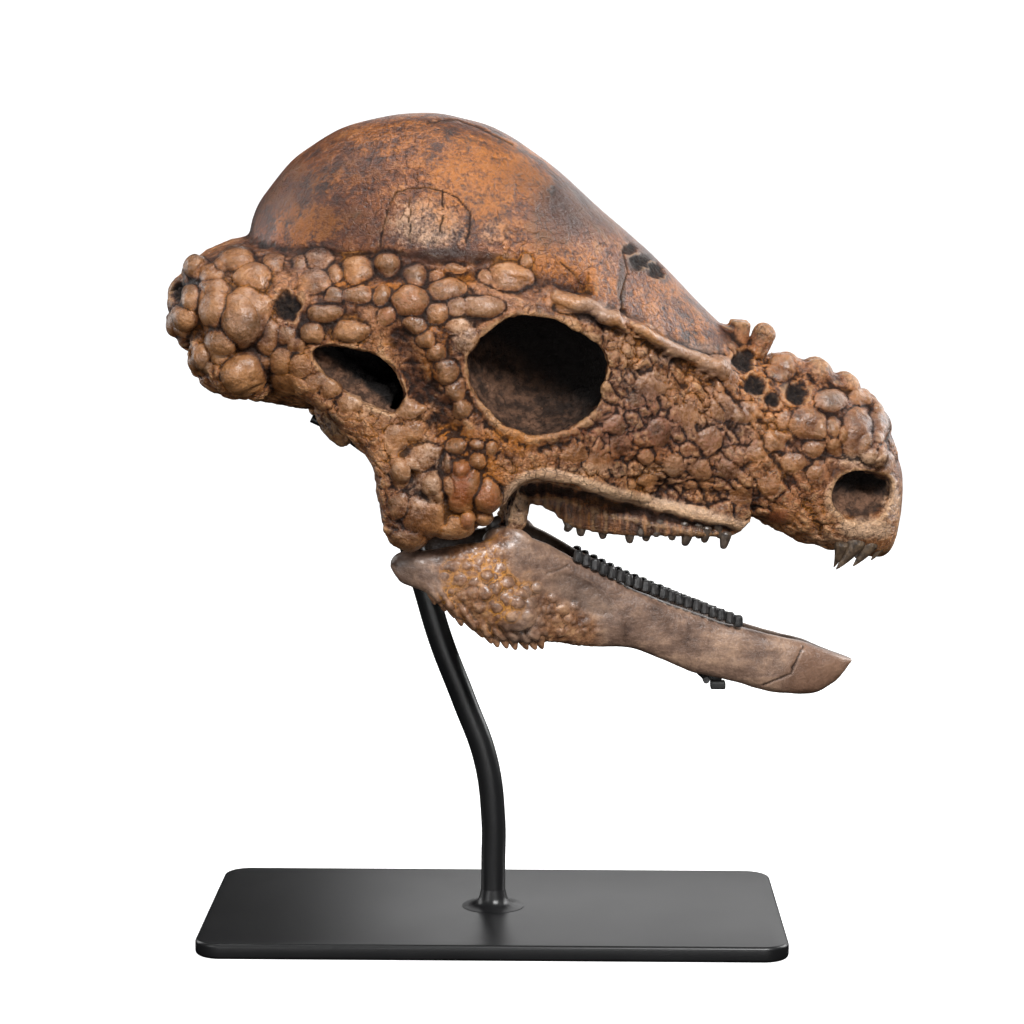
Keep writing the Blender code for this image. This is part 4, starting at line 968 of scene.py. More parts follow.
seams = {
    "dome": [
        (-0.32, 0.592), (-0.205, 0.58), (-0.15, 0.57), (-0.04, 0.558), (0.012, 0.553), (0.037, 0.549),
        (0.105, 0.517), (0.15, 0.496), (0.182, 0.484), (0.19, 0.75), (0.4, 0.75)
    ],
    "front": [(0.28, 0.044), (0.4, 0.046), (0.475, 0.036), (0.553, 0.012), (0.75, 0.012)],
    "nasal": [(0.0, 0.6), (0.146, 0.6), (0.15, 0.432), (0.215, 0.424), (0.4, 0.424)],
    "lip": [(0.28, 0.236), (0.424, 0.215), (0.6, 0.215)],
    "eye": [(0.0, 0.49), (0.036, 0.475), (0.1, 0.446), (0.15, 0.432), (0.25, 0.42)],
    "back": [(0.0, -0.158), (1.0, -0.158)],
    "temple": [(-0.16, 0.468), (-0.103, 0.473), (0.04, 0.475)],
    "middle": [(-1.0, 0.0), (1.0, 0.0)],
    "innerRight": [(-1.0, -0.075), (1.0, -0.075)],
    "innerLeft": [(-1.0, 0.075), (1.0, 0.075)],
}


def partSkull(whole):
    rest, dome = part(whole, 2, seams["dome"], 0)
    back, front = part(rest, 0, seams["front"], 2)
    face, nasal = part(front, 2, seams["nasal"], 0)
    side, premaxilla = part(face, 0, seams["lip"], 2)
    lower, upper = part(side, 2, seams["eye"], 0)
    rear, temple = part(back, 0, seams["back"], 2)
    under, over = part(temple, 2, seams["temple"], 0)
    jugalRight, inner = part(under, 1, seams["innerRight"], 0)
    case, jugalLeft = part(inner, 1, seams["innerLeft"], 0)
    made = {"dome": dome, "nasal": nasal, "premaxilla": premaxilla, "jugal_right": jugalRight,
            "braincase": case, "jugal_left": jugalLeft}
    for name, both in (("maxilla", lower), ("lacrimal", upper), ("squamosal", rear), ("postorbital", over)):
        made[name + "_right"], made[name + "_left"] = part(both, 1, seams["middle"], 0)
    return made


smooth = fuse("skull", skullForms(), meshing["coarse"], 7)
skin = treeOf(smooth)
details = skullDetails(skin)
smooth = subtract(smooth, [ellipsoid("hollow", *form, detail=(48, 32)) for form in hollows])
smooth = subtract(smooth, [pocketForm(side, shape) for side in (right, left) for shape in pockets.values()])
skullMesh = fuse("skull", [smooth] + details, meshing["fine"], 4)
print("skull forms", len(skullMesh.data.polygons), "faces")
bones = partSkull(sculptSkull(skullMesh, skin))
print("skull parted", {n: len(p.data.polygons) for n, p in bones.items()})

# the lower jaw's lines in side view as (x, z), its plan and half widths as (x, y)
jaw = {
    "top": [
        (-0.083, 0.318), (-0.059, 0.327), (-0.011, 0.334), (0.01, 0.339), (0.023, 0.338), (0.038, 0.333),
        (0.065, 0.318), (0.103, 0.298), (0.12, 0.288), (0.16, 0.272), (0.2, 0.258), (0.241, 0.247),
        (0.254, 0.244), (0.275, 0.236), (0.299, 0.227)
    ],
    "bottom": [
        (-0.083, 0.315), (-0.075, 0.303), (-0.051, 0.293), (-0.027, 0.274), (-0.011, 0.262), (0.006, 0.254),
        (0.02, 0.251), (0.044, 0.249), (0.071, 0.245), (0.108, 0.243), (0.137, 0.232), (0.17, 0.218),
        (0.201, 0.21), (0.238, 0.2), (0.263, 0.199), (0.28, 0.206), (0.299, 0.225)
    ],
    "plan": [
        (-0.083, 0.086), (0.0, 0.075), (0.07, 0.05), (0.13, 0.036), (0.2, 0.022), (0.25, 0.013), (0.28, 0.008),
        (0.299, 0.002)
    ],
    "half": [
        (-0.083, 0.007), (-0.05, 0.013), (0.0, 0.013), (0.1, 0.0125), (0.2, 0.011), (0.25, 0.012),
        (0.285, 0.009), (0.299, 0.002)
    ],
    "forms": [
        ((-0.01, 0.086, 0.296), (0.052, 0.009, 0.022), 0.55),
        ((0.012, 0.07, 0.332), (0.022, 0.007, 0.014), 0.2),
        ((-0.062, 0.083, 0.3155), (0.0215, 0.013, 0.013), 0.1)
    ],
    "comb": [(-0.052, 0.293), (-0.033, 0.278), (-0.012, 0.261), (0.01, 0.2525), (0.036, 0.2505)],
    "combUp": 0.0085, "combOut": 0.006, "combWidth": 0.014, "roll": 0.05, "softening": 14,
}
jawSeams = {"rear": [(0.2, 0.06), (0.4, 0.04)], "chin": [(0.18, 0.236), (0.3, 0.262)]}
# tubercles as (u, v, half width, half height, proud mm)
jawBosses = [
    (487, 575, 6, 5, 1.8), (480, 560, 6, 5, 1.5), (467, 565, 6, 5, 1.6), (495, 588, 7, 6, 2),
    (485, 593, 8, 7, 2.2), (473, 593, 7, 6, 1.8), (508, 582, 7, 6, 1.8), (525, 592, 7, 6, 2),
    (518, 603, 7, 6, 1.8), (532, 602, 6, 6, 1.5), (537, 588, 5, 5, 1.4), (553, 598, 5, 4, 1.4),
    (563, 610, 6, 5, 1.6), (570, 620, 6, 5, 1.6), (587, 622, 5, 4, 1.2), (557, 620, 5, 4, 1.3),
    (547, 610, 5, 4, 1.3), (460, 580, 7, 6, 1.6), (500, 568, 6, 5, 1.4), (505, 598, 5, 5, 1.4),
    (452, 566, 8, 6, 1.5), (576, 606, 5, 4, 1.2), (540, 622, 5, 5, 1.3), (528, 616, 6, 5, 1.3),
    (512, 617, 6, 5, 1.2), (497, 608, 6, 5, 1.4), (480, 608, 6, 5, 1.3), (463, 597, 6, 5, 1.4),
    (583, 632, 6, 4, 1.2), (562, 633, 6, 4, 1.2), (545, 632, 6, 5, 1.2), (598, 632, 5, 4, 1)
]
jawRelief = {
    "outer": (-0.004, 0.002), "uneven": (14, 0.02), "patchU": (508, 545), "patchLean": (0.55, 590),
    "patchStart": (432, 458), "startLean": (0.3, 565), "gapU": (495, 520), "gapV": (565, 590),
    "grainyU": (520, 550, 585, 610), "grainyV": (592, 608), "grainyLean": (0.5, 560),
    "stone": 0.0080, "stoneProud": 0.0016, "grain": 0.0045, "grainProud": 0.0007,
    "grainyProud": (0.0010, 0.0008), "fibre": (0.006, 0.0003), "soft": (0.026, 0.0011),
    "flute": 0.0011, "fluteStep": 0.0085, "fluteHeight": (0.002, 0.020), "fluteX": (-0.055, -0.040, 0.030, 0.048),
    "suture": [(803, 646), (796, 661), (790, 674), (763, 685)], "sutureDepth": 0.0010,
    "scratch": [(547, 573), (558, 570), (568, 565)], "scratchDepth": 0.0005,
    "facet": (584, 595, 40, 15), "facetSlope": 0.55, "facetDepth": 0.0010,
    "chin": (236, 262), "chinLean": (0.24, 220), "lobe": (-0.066, -0.050), "lobeLean": (0.35, 0.315),
}


# the left half hangs a little lower, as the whole jaw leans
def rollDrop(side, x):
    return -2 * jaw["roll"] * curveThrough(jaw["plan"])(x) if side == left else 0.0


def buildJaw():
    top, bottom, plan, half = (curveThrough(jaw[k]) for k in ("top", "bottom", "plan", "half"))
    forms = []
    for side in (right, left):
        forms.append(loft("ramus", lambda x: (side * plan(x), 0.5 * (top(x) + bottom(x)) + rollDrop(side, x),
                                              top(x) + rollDrop(side, x), bottom(x) + rollDrop(side, x), half(x))))
        for (x, y, z), radii, tilt in jaw["forms"]:
            forms.append(ellipsoid("form", (x, side * y, z + rollDrop(side, x)), radii, tilt))
        comb = [(x, side * (plan(x) + jaw["combOut"]), z + jaw["combUp"] + rollDrop(side, x))
                for x, z in jaw["comb"]]
        forms.append(tube("comb", comb, jaw["combWidth"]))
    return fuse("jaw", forms, meshing["jaw"], jaw["softening"])


def sculptJaw(obj):
    mesh, tree, r = obj.data, treeOf(obj), jawRelief
    co, no, edges = readCo(mesh), readNormals(mesh), readEdges(mesh)
    x, y, z = co.T
    raised = co.copy()
    plan = curveThrough(jaw["plan"])(x)
    raised[:, 2] += np.where(y > 0, 2 * jaw["roll"] * plan, 0.0)
    u, v = toFrame(raised)

    # the rugged patch at the rear, the grainy strip below it and the tubercles
    outer = ease(*r["outer"], abs(y) - plan)
    edge = r["uneven"][0] * cloudy(co, r["uneven"][1], 4, 75)
    lean, leanFrom = r["patchLean"]
    patch = (1 - ease(*r["patchU"], u + lean * (v - leanFrom) + edge)) * outer
    lean, leanFrom = r["startLean"]
    patch *= ease(*r["patchStart"], u + lean * (v - leanFrom) + edge)
    patch *= 1 - ease(*r["gapU"], u) * (1 - ease(*r["gapV"], v + edge))
    lean, leanFrom = r["grainyLean"]
    grainy = window(r["grainyU"], u + edge) * ease(*r["grainyV"], v - lean * (u - leanFrom) + 0.5 * edge) * outer
    boss, proud = np.zeros(len(co)), np.zeros(len(co))
    for bu, bv, ru, rv, height in jawBosses:
        swell = bossShape(co, u, v, bu, bv, ru, rv, tree)
        boss = np.maximum(boss, swell)
        proud = np.maximum(proud, swell * height * 0.001)

    near, _, pick = cobbles(co, r["stone"], 71)
    stone = np.clip(1 - (near / 0.55) ** 2, 0, 1) * pick
    near, _, pick = cobbles(co, r["grain"], 73)
    grain = np.clip(1 - (near / 0.6) ** 2, 0, 1) * (0.3 + 0.7 * pick)
    slant = np.stack([x * 0.25 + z * 0.2, y, z + x * 0.45], 1)
    move = patch * (r["stoneProud"] * (stone - 0.3) + r["grainProud"] * (grain - 0.4)) + proud * outer
    tall, low = r["grainyProud"]
    move = move + grainy * (tall * (grain - 0.4) + low * (stone - 0.3))
    move = move + (1 - patch) * r["fibre"][1] * cloudy(slant, r["fibre"][0], 4, 77)
    move = move + r["soft"][1] * cloudy(co, r["soft"][0], 3, 78)
    flute = np.sin((x * 0.9 + z * 0.45) * 2 * math.pi / r["fluteStep"] + 2 * noise(co, 0.01, 83))
    flange = (1 - ease(*r["fluteHeight"], raised[:, 2] - lineAt(jaw["bottom"], x))) * window(r["fluteX"], x)
    move = move + flange * outer * r["flute"] * (flute + 0.6)
    suture = (1 - ease(0.3, 1.7, lineDistance(u + 1.5 * noise(co, 0.005, 79), v, r["suture"]))) * outer
    scratch = (1 - ease(0.3, 1.6, lineDistance(u, v, r["scratch"]))) * outer
    fu, fv, ru, rv = r["facet"]
    c, s = math.cos(r["facetSlope"]), math.sin(r["facetSlope"])
    a, b = (u - fu) * c + (v - fv) * s, (v - fv) * c - (u - fu) * s
    facet = (1 - ease(0.75, 1.0, np.hypot(a / ru, b / rv))) * outer
    move = move - r["sutureDepth"] * suture - r["scratchDepth"] * scratch - r["facetDepth"] * facet
    done = co + no * move[:, None]

    fine = sunkBelow(done, no, blur(done, edges, 3), 0.00018)
    wide = sunkBelow(done, no, blur(done, edges, 18), 0.0008)
    level, lean = r["chinLean"]
    lobeLean, lobeFrom = r["lobeLean"]
    finishRelief(mesh, done, {
        "crease": np.clip(0.5 + 0.5 * (0.5 * fine + 0.6 * wide), 0, 1), "patch": np.clip(patch, 0, 1),
        "grainy": grainy, "boss": boss, "broken": np.clip(np.maximum(suture, scratch * 0.6), 0, 1),
        "facet": facet, "chin": ease(*r["chin"], x * 1000 - (z - level) * lean), "inner": 1 - outer,
        "lobe": 1 - ease(*r["lobe"], x - lobeLean * (z - lobeFrom)),
    })
    return obj


def partJaw(whole):
    rear, front = part(whole, 0, jawSeams["rear"], 2)
    middle, chin = part(front, 0, jawSeams["chin"], 2)
    made = {"predentary": chin}
    for name, both in (("surangular", rear), ("dentary", middle)):
        made[name + "_right"], made[name + "_left"] = part(both, 1, seams["middle"], 0)
    return made


bones.update(partJaw(sculptJaw(buildJaw())))
print("jaw parted")

# roots and tips of the teeth and spikes, with the sizes that their node tree reads
teeth = {
    "upper": [
        (0.059, 0.3405), (0.0655, 0.338), (0.072, 0.3355), (0.0875, 0.333), (0.0965, 0.336), (0.111, 0.3295),
        (0.119, 0.3345), (0.1265, 0.3305), (0.1355, 0.334), (0.1455, 0.3315), (0.1535, 0.333), (0.159, 0.3265),
        (0.1665, 0.3325), (0.174, 0.329), (0.182, 0.3325), (0.19, 0.324)
    ],
    "upperShape": {
        "Sides": 6, "Root Radius": 0.0062, "Tip Radius": 0.0027, "Length": 0.013, "Flat": 0.9, "Curve": 0.001,
        "Spin": 3.1, "Wobble": 0.32, "Seed": 4,
    },
    "front": [
        ((0.2855, 0.033, 0.331), (0.2835, 0.031, 0.3065)), ((0.299, 0.031, 0.334), (0.2885, 0.03, 0.303)),
        ((0.3105, 0.028, 0.331), (0.3015, 0.027, 0.3055)), ((0.3205, 0.022, 0.33), (0.315, 0.021, 0.311))
    ],
    "frontShape": {
        "Sides": 14, "Root Radius": 0.0105, "Tip Radius": 0.0006, "Length": 0.032, "Flat": 0.62,
        "Curve": 0.0075, "Spin": 0.0, "Wobble": 0.02, "Seed": 6,
    },
    "lowerCount": 20,
    "lowerLine": [
        (0.0685, 0.3205), (0.081, 0.314), (0.108, 0.301), (0.131, 0.2915), (0.162, 0.279), (0.2015, 0.2632)
    ],
    "lowerOut": 0.006, "lowerFar": 0.0065,
    "lowerShape": {
        "Sides": 6, "Root Radius": 0.0052, "Tip Radius": 0.0042, "Length": 0.011, "Flat": 1.0, "Curve": 0.0,
        "Spin": 3.1, "Wobble": 0.1, "Seed": 9,
    },
    "spikes": [
        (-0.047, 0.29), (-0.04, 0.284), (-0.033, 0.278), (-0.026, 0.272), (-0.019, 0.267), (-0.012, 0.261),
        (-0.004, 0.2565), (0.003, 0.254), (0.01, 0.2525), (0.017, 0.251), (0.024, 0.25), (0.031, 0.2495),
        (0.038, 0.25)
    ],
    "spikeShape": {
        "Sides": 7, "Root Radius": 0.0085, "Tip Radius": 0.0016, "Length": 0.016, "Flat": 0.55, "Curve": 0.001,
        "Spin": 0.3, "Wobble": 0.14, "Seed": 12,
    },
    "upperRoot": 0.016, "lowerRoot": 0.006, "lowerTip": 0.005, "spikeOut": 0.006, "spikeRoot": (0.002, 0.009),
    "spikeTip": (0.0015, 0.0058), "frontShift": 0.0066,
}


def feed(tree, target, inputs):
    for key, value in inputs.items():
        if isinstance(value, bpy.types.NodeSocket):
            tree.links.new(value, target.inputs[key])
        else:
            target.inputs[key].default_value = value
    return target


def node(tree, kind, inputs=None, **settings):
    made = tree.nodes.new(kind)
    for key, value in settings.items():
        setattr(made, key, value)
    return feed(tree, made, inputs or {})


def maths(tree, way, *values):
    return node(tree, "ShaderNodeMath", dict(enumerate(values)), operation=way).outputs[0]


# every point of a seed mesh gets one tooth, leaning and sized by its attributes
def toothTree():
    tree = bpy.data.node_groups.new("toothRow", "GeometryNodeTree")
    for label, kind in (("Geometry", "Geometry"), ("Sides", "Int"), ("Root Radius", "Float"),
                        ("Tip Radius", "Float"), ("Length", "Float"), ("Flat", "Float"), ("Curve", "Float"),
                        ("Spin", "Float"), ("Wobble", "Float"), ("Seed", "Int"), ("Material", "Material")):
        tree.interface.new_socket(label, in_out="INPUT", socket_type="NodeSocket" + kind)
    tree.interface.new_socket("Geometry", in_out="OUTPUT", socket_type="NodeSocketGeometry")
    source = node(tree, "NodeGroupInput").outputs
    cone = node(tree, "GeometryNodeMeshCone", {
        "Vertices": source["Sides"], "Side Segments": 3, "Radius Top": source["Tip Radius"],
        "Radius Bottom": source["Root Radius"], "Depth": source["Length"]})
    rounded = node(tree, "GeometryNodeSubdivisionSurface", {"Mesh": cone.outputs["Mesh"], "Level": 1})
    at = node(tree, "ShaderNodeSeparateXYZ", {0: node(tree, "GeometryNodeInputPosition").outputs[0]}).outputs
    share = maths(tree, "DIVIDE", at[2], source["Length"])
    bow = maths(tree, "MULTIPLY", maths(tree, "POWER", share, 2.0), source["Curve"])
    placed = node(tree, "ShaderNodeCombineXYZ", {0: maths(tree, "MULTIPLY", at[0], source["Flat"]),
                                                 1: maths(tree, "ADD", at[1], bow), 2: at[2]})
    bowed = node(tree, "GeometryNodeSetPosition", {"Geometry": rounded.outputs[0], "Position": placed.outputs[0]})
    lean = node(tree, "GeometryNodeInputNamedAttribute", {"Name": "lean"}, data_type="FLOAT_VECTOR")
    size = node(tree, "GeometryNodeInputNamedAttribute", {"Name": "size"}, data_type="FLOAT")
    wobble, spin = source["Wobble"], source["Spin"]
    back, reverse = maths(tree, "MULTIPLY", wobble, -1.0), maths(tree, "MULTIPLY", spin, -1.0)
    low = node(tree, "ShaderNodeCombineXYZ", {0: back, 1: back, 2: reverse})
    high = node(tree, "ShaderNodeCombineXYZ", {0: wobble, 1: wobble, 2: spin})
    turn = node(tree, "FunctionNodeRandomValue", {"Min": low.outputs[0], "Max": high.outputs[0],
                                                  "Seed": source["Seed"]}, data_type="FLOAT_VECTOR")
    spun = node(tree, "GeometryNodeInstanceOnPoints", {
        "Points": source["Geometry"], "Instance": bowed.outputs[0], "Rotation": lean.outputs[0],
        "Scale": size.outputs[0]})
    wobbled = node(tree, "GeometryNodeRotateInstances", {
        "Instances": spun.outputs[0], "Rotation": turn.outputs[0]})
    real = node(tree, "GeometryNodeRealizeInstances", {"Geometry": wobbled.outputs[0]})
    coat = node(tree, "GeometryNodeSetMaterial", {"Geometry": real.outputs[0], "Material": source["Material"]})
    tree.links.new(coat.outputs[0], node(tree, "NodeGroupOutput").inputs[0])
    return tree


toothNodes = toothTree()


def toothRow(name, roots, shape, material):
    mesh = bpy.data.meshes.new(name)
    mesh.from_pydata([root for root, _ in roots], [], [])
    mesh.attributes.new("lean", "FLOAT_VECTOR", "POINT")
    mesh.attributes.new("size", "FLOAT", "POINT")
    lean, size = mesh.attributes["lean"], mesh.attributes["size"]
    for k, (a, b) in enumerate(roots):
        way = Vector(b) - Vector(a)
        lean.data[k].vector = way.to_track_quat("Z", "Y").to_euler()
        size.data[k].value = way.length / shape["Length"]
    obj = addObject(name, mesh)
    modifier = obj.modifiers.new("row", "NODES")
    modifier.node_group = toothNodes
    for item in toothNodes.interface.items_tree:
        if item.in_out == "INPUT" and item.name in shape:
            modifier[item.identifier] = shape[item.name]
        if item.in_out == "INPUT" and item.name == "Material":
            modifier[item.identifier] = material
    return settle(obj)


def tone(r, g, b):
    return tuple(((c / 255 + 0.055) / 1.055) ** 2.4 if c > 10 else c / 255 / 12.92 for c in (r, g, b)) + (1.0,)


boneLook = {
    "dark": tone(58, 33, 20), "mid": tone(112, 68, 40), "tan": tone(160, 106, 66), "light": tone(206, 152, 106),
    "domeDark": tone(46, 24, 15), "domeMid": tone(82, 43, 23), "domeTan": tone(124, 71, 35),
    "domeLight": tone(170, 116, 70), "orange": tone(168, 100, 33), "gold": tone(186, 116, 40),
    "grey": tone(140, 114, 98), "black": tone(24, 16, 13), "pale": tone(214, 178, 146), "red": tone(122, 56, 30),
    "boss": tone(112, 72, 37), "bossDark": tone(72, 42, 21), "bossLight": tone(144, 98, 56),
    # deep is painted shade for concave places; worn and edge lighten raised places, partly wear and partly painted
    # highlight; the crevice colour darkens cracks and paints shade in creases
    "deep": tone(58, 31, 18), "worn": tone(172, 130, 90), "creviceDirtAndShade": tone(30, 16, 10), "edge": tone(198, 154, 108),
    # hollow is painted shade deep in the holes, floor is painted light on their lit floors
    "plate": tone(96, 64, 45), "hollow": tone(14, 9, 7), "floor": tone(134, 98, 76),
    "patches": 17, "mottle": 75, "speck": 330, "steps": (0.39, 0.47, 0.55, 0.64), "network": 125.0,
    "stains": (("grey", 0.65), ("pale", 0.7), ("red", 0.7), ("orange", 0.85), ("dark", 0.85)),
    "coatRoughness": 0.23, "specular": 0.28,
}
jawColours = {
    "dark": tone(72, 54, 45), "mid": tone(116, 92, 78), "light": tone(160, 130, 108),
    "patchDark": tone(78, 48, 31), "patch": tone(128, 86, 56), "patchLight": tone(172, 128, 90),
    "lobe": tone(78, 62, 54), "ochre": tone(186, 126, 50), "chin": tone(126, 94, 74), "facet": tone(96, 80, 70),
    # inner is painted shade on the jaw's inner side; the crevice colour darkens sutures and paints shade in
    # creases
    "inner": tone(30, 24, 20), "creviceDirtAndShade": tone(40, 28, 22), "patches": 24, "mottle": 110, "speck": 420,
    "coatRoughness": 0.24, "specular": 0.32,
}


# one material being made: place is where its patterns are read, colour what has been laid so far
class finish:
    def __init__(self, name):
        self.material = bpy.data.materials.new(name)
        self.material.use_nodes = True
        self.tree = self.material.node_tree
        self.shader = self.tree.nodes["Principled BSDF"]
        self.place = node(self.tree, "ShaderNodeTexCoord").outputs["Object"]

    def maths(self, way, *values):
        return maths(self.tree, way, *values)

    def times(self, a, b):
        return self.maths("MULTIPLY", a, b)

    def scaled(self, a, by, plus):
        return self.maths("MULTIPLY_ADD", a, by, plus)

    def centred(self, a, by, plus):
        return self.scaled(self.maths("SUBTRACT", a, 0.5), by, plus)

    def band(self, value, low, high, top=1.0, base=0.0):
        return node(self.tree, "ShaderNodeMapRange", {
            "Value": value, "From Min": low, "From Max": high, "To Min": base, "To Max": top},
            interpolation_type="SMOOTHSTEP").outputs[0]

    def mask(self, name):
        return node(self.tree, "ShaderNodeAttribute", attribute_name=name).outputs["Fac"]

    def grain(self, scale, detail, rough, place=None):
        return node(self.tree, "ShaderNodeTexNoise", {
            "Vector": place or self.place, "Scale": scale, "Detail": detail, "Roughness": rough}).outputs["Fac"]

    def ramp(self, value, *stops):
        made = node(self.tree, "ShaderNodeValToRGB", {"Fac": value})
        cells = made.color_ramp.elements
        for k, (at, colour) in enumerate(stops):
            cell = cells[k] if k < 2 else cells.new(at)
            cell.position, cell.color = at, colour
        return made.outputs["Color"]

    def mix(self, share, a, b, way="MIX"):
        made = node(self.tree, "ShaderNodeMix", {0: share, 6: a, 7: b}, data_type="RGBA", blend_type=way)
        return made.outputs[2]

    def lay(self, share, colour, way="MIX"):
        self.colour = self.mix(share, self.colour, colour, way)

    def shade(self, value):
        grey = node(self.tree, "ShaderNodeCombineColor", {0: value, 1: value, 2: value}).outputs[0]
        self.lay(1.0, grey, "MULTIPLY")

    def bump(self, height, strength, distance):
        return node(self.tree, "ShaderNodeBump", {"Strength": strength, "Distance": distance,
                                                  "Height": height}).outputs[0]

    def done(self, sockets):
        feed(self.tree, self.shader, {"Base Color": self.colour, **sockets})
        return self.material


def skullBone(name):
    look, f = boneLook, finish(name)
    patches = f.grain(look["patches"], 4, 0.6)
    mottle = f.grain(look["mottle"], 6, 0.64)
    speck = f.grain(look["speck"], 5, 0.66)
    boss, crease, cavity, broken, hollow = (f.mask(n) for n in ("boss", "crease", "cavity", "broken", "hollow"))
    bare = f.scaled(boss, -1.0, 1.0)

    # ground colours of the rough bone, the dome and the knobs, then painted shade in deep places and lighter
    # raised ones, partly wear and partly painted highlight
    blend = f.scaled(patches, 0.38, f.scaled(mottle, 0.42, f.times(speck, 0.20)))
    rough, dome = (f.ramp(blend, *zip(look["steps"], [look[n] for n in names])) for names in (
        ("dark", "mid", "tan", "light"), ("domeDark", "domeMid", "domeTan", "domeLight")))
    f.colour = f.mix(f.mask("dome"), rough, dome)
    f.lay(f.times(boss, 0.52), f.ramp(patches, (0.40, look["bossDark"]), (0.50, look["boss"]),
                                      (0.60, look["bossLight"])))
    # painted shade: the deep colour darkens the concave places of the relief
    f.lay(f.band(cavity, 0.51, 0.80, 0.80), look["deep"])
    # lighter on raised places: partly wear, partly painted highlight
    raised = f.times(f.band(cavity, 0.40, 0.02, 0.50), f.scaled(boss, -0.75, 1.0))
    f.lay(f.times(raised, f.band(mottle, 0.40, 0.60, 1.0, 0.2)), look["worn"])
    for stain, spread in look["stains"]:
        worn = f.centred(speck, 1.5, f.centred(mottle, 1.7, f.mask(stain)))
        share = f.band(worn, 0.12, 1.05, spread)
        if stain == "orange":
            share = f.times(share, f.scaled(bare, 0.75, 0.25))
        f.lay(share, look["black" if stain == "dark" else stain])
    f.lay(f.times(f.mask("ridge"), f.band(mottle, 0.30, 0.6, 0.9, 0.35)), look["pale"])
    # the tooth plate: dark streaks, and darker overall as painted shade under the ridge's overhang
    streaks = node(f.tree, "ShaderNodeMapping", {"Vector": f.place, "Scale": (210.0, 60.0, 46.0)}).outputs[0]
    plate = f.ramp(f.grain(1.0, 5, 0.65, streaks), (0.36, look["creviceDirtAndShade"]), (0.5, look["plate"]),
                   (0.68, look["tan"]))
    f.lay(f.times(f.mask("plate"), 0.9), plate)

    # gold sediment and painted shade in the creases, pale raised edges that are partly painted highlight, fine
    # cracks, pits, and the holes painted near-black as shade with painted light on their lit floors
    # the creases get gold sediment mixed with painted shade, and the deepest ones painted shade alone
    warm = f.mix(f.band(patches, 0.50, 0.62, 0.85), look["creviceDirtAndShade"], look["gold"])
    f.lay(f.band(crease, 0.58, 0.88, 0.65), warm)
    f.lay(f.band(crease, 0.78, 1.0, 0.8), look["creviceDirtAndShade"])
    # pale raised edges: partly wear, partly painted highlight
    f.lay(f.times(f.band(crease, 0.38, 0.0, 0.30), f.scaled(boss, -0.6, 1.0)), look["edge"])
    warp = node(f.tree, "ShaderNodeTexNoise", {"Vector": f.place, "Scale": 90.0, "Detail": 4.0}).outputs["Color"]
    lines = node(f.tree, "ShaderNodeTexVoronoi", {"Vector": f.mix(0.010, f.place, warp), "Scale": look["network"]},
                 feature="DISTANCE_TO_EDGE")
    cut = f.times(f.band(lines.outputs["Distance"], 0.040, 0.0), f.band(patches, 0.44, 0.60, 1.0, 0.15))
    cut = f.times(cut, f.scaled(bare, 0.8, 0.2))
    f.lay(f.times(cut, 0.5), look["creviceDirtAndShade"])
    f.lay(f.times(broken, 0.9), look["black"])
    # painted shade and light in the holes: near-black inside, the floor colour where the painted light falls
    lit = f.times(f.mask("floor"), f.band(mottle, 0.40, 0.62, 1.0, 0.2))
    f.lay(hollow, f.mix(lit, look["hollow"], look["floor"]))
    f.shade(f.centred(speck, f.scaled(boss, -0.9, 1.5), 1.0))

    dull = f.scaled(boss, -0.05, f.scaled(speck, 0.30, 0.20))
    dull = f.scaled(hollow, 0.3, f.scaled(broken, 0.35, dull))
    lit = f.times(f.band(crease, 0.70, 0.52), f.band(cavity, 0.85, 0.55))
    lit = f.times(lit, f.scaled(boss, 0.16, 0.40))
    lit = f.times(lit, f.maths("SUBTRACT", 1.0, f.maths("MAXIMUM", hollow, broken)))
    fine = f.times(f.scaled(cut, -0.8, f.times(speck, 1.5)), f.scaled(boss, -0.60, 1.0))
    fine = f.maths("ADD", fine, f.times(mottle, 3.0))
    return f.done({"Roughness": dull, "Specular IOR Level": look["specular"], "Normal": f.bump(fine, 0.9, 0.0021),
                   "Coat Weight": lit, "Coat Roughness": look["coatRoughness"],
                   "Coat Normal": f.bump(fine, 0.4, 0.0015)})


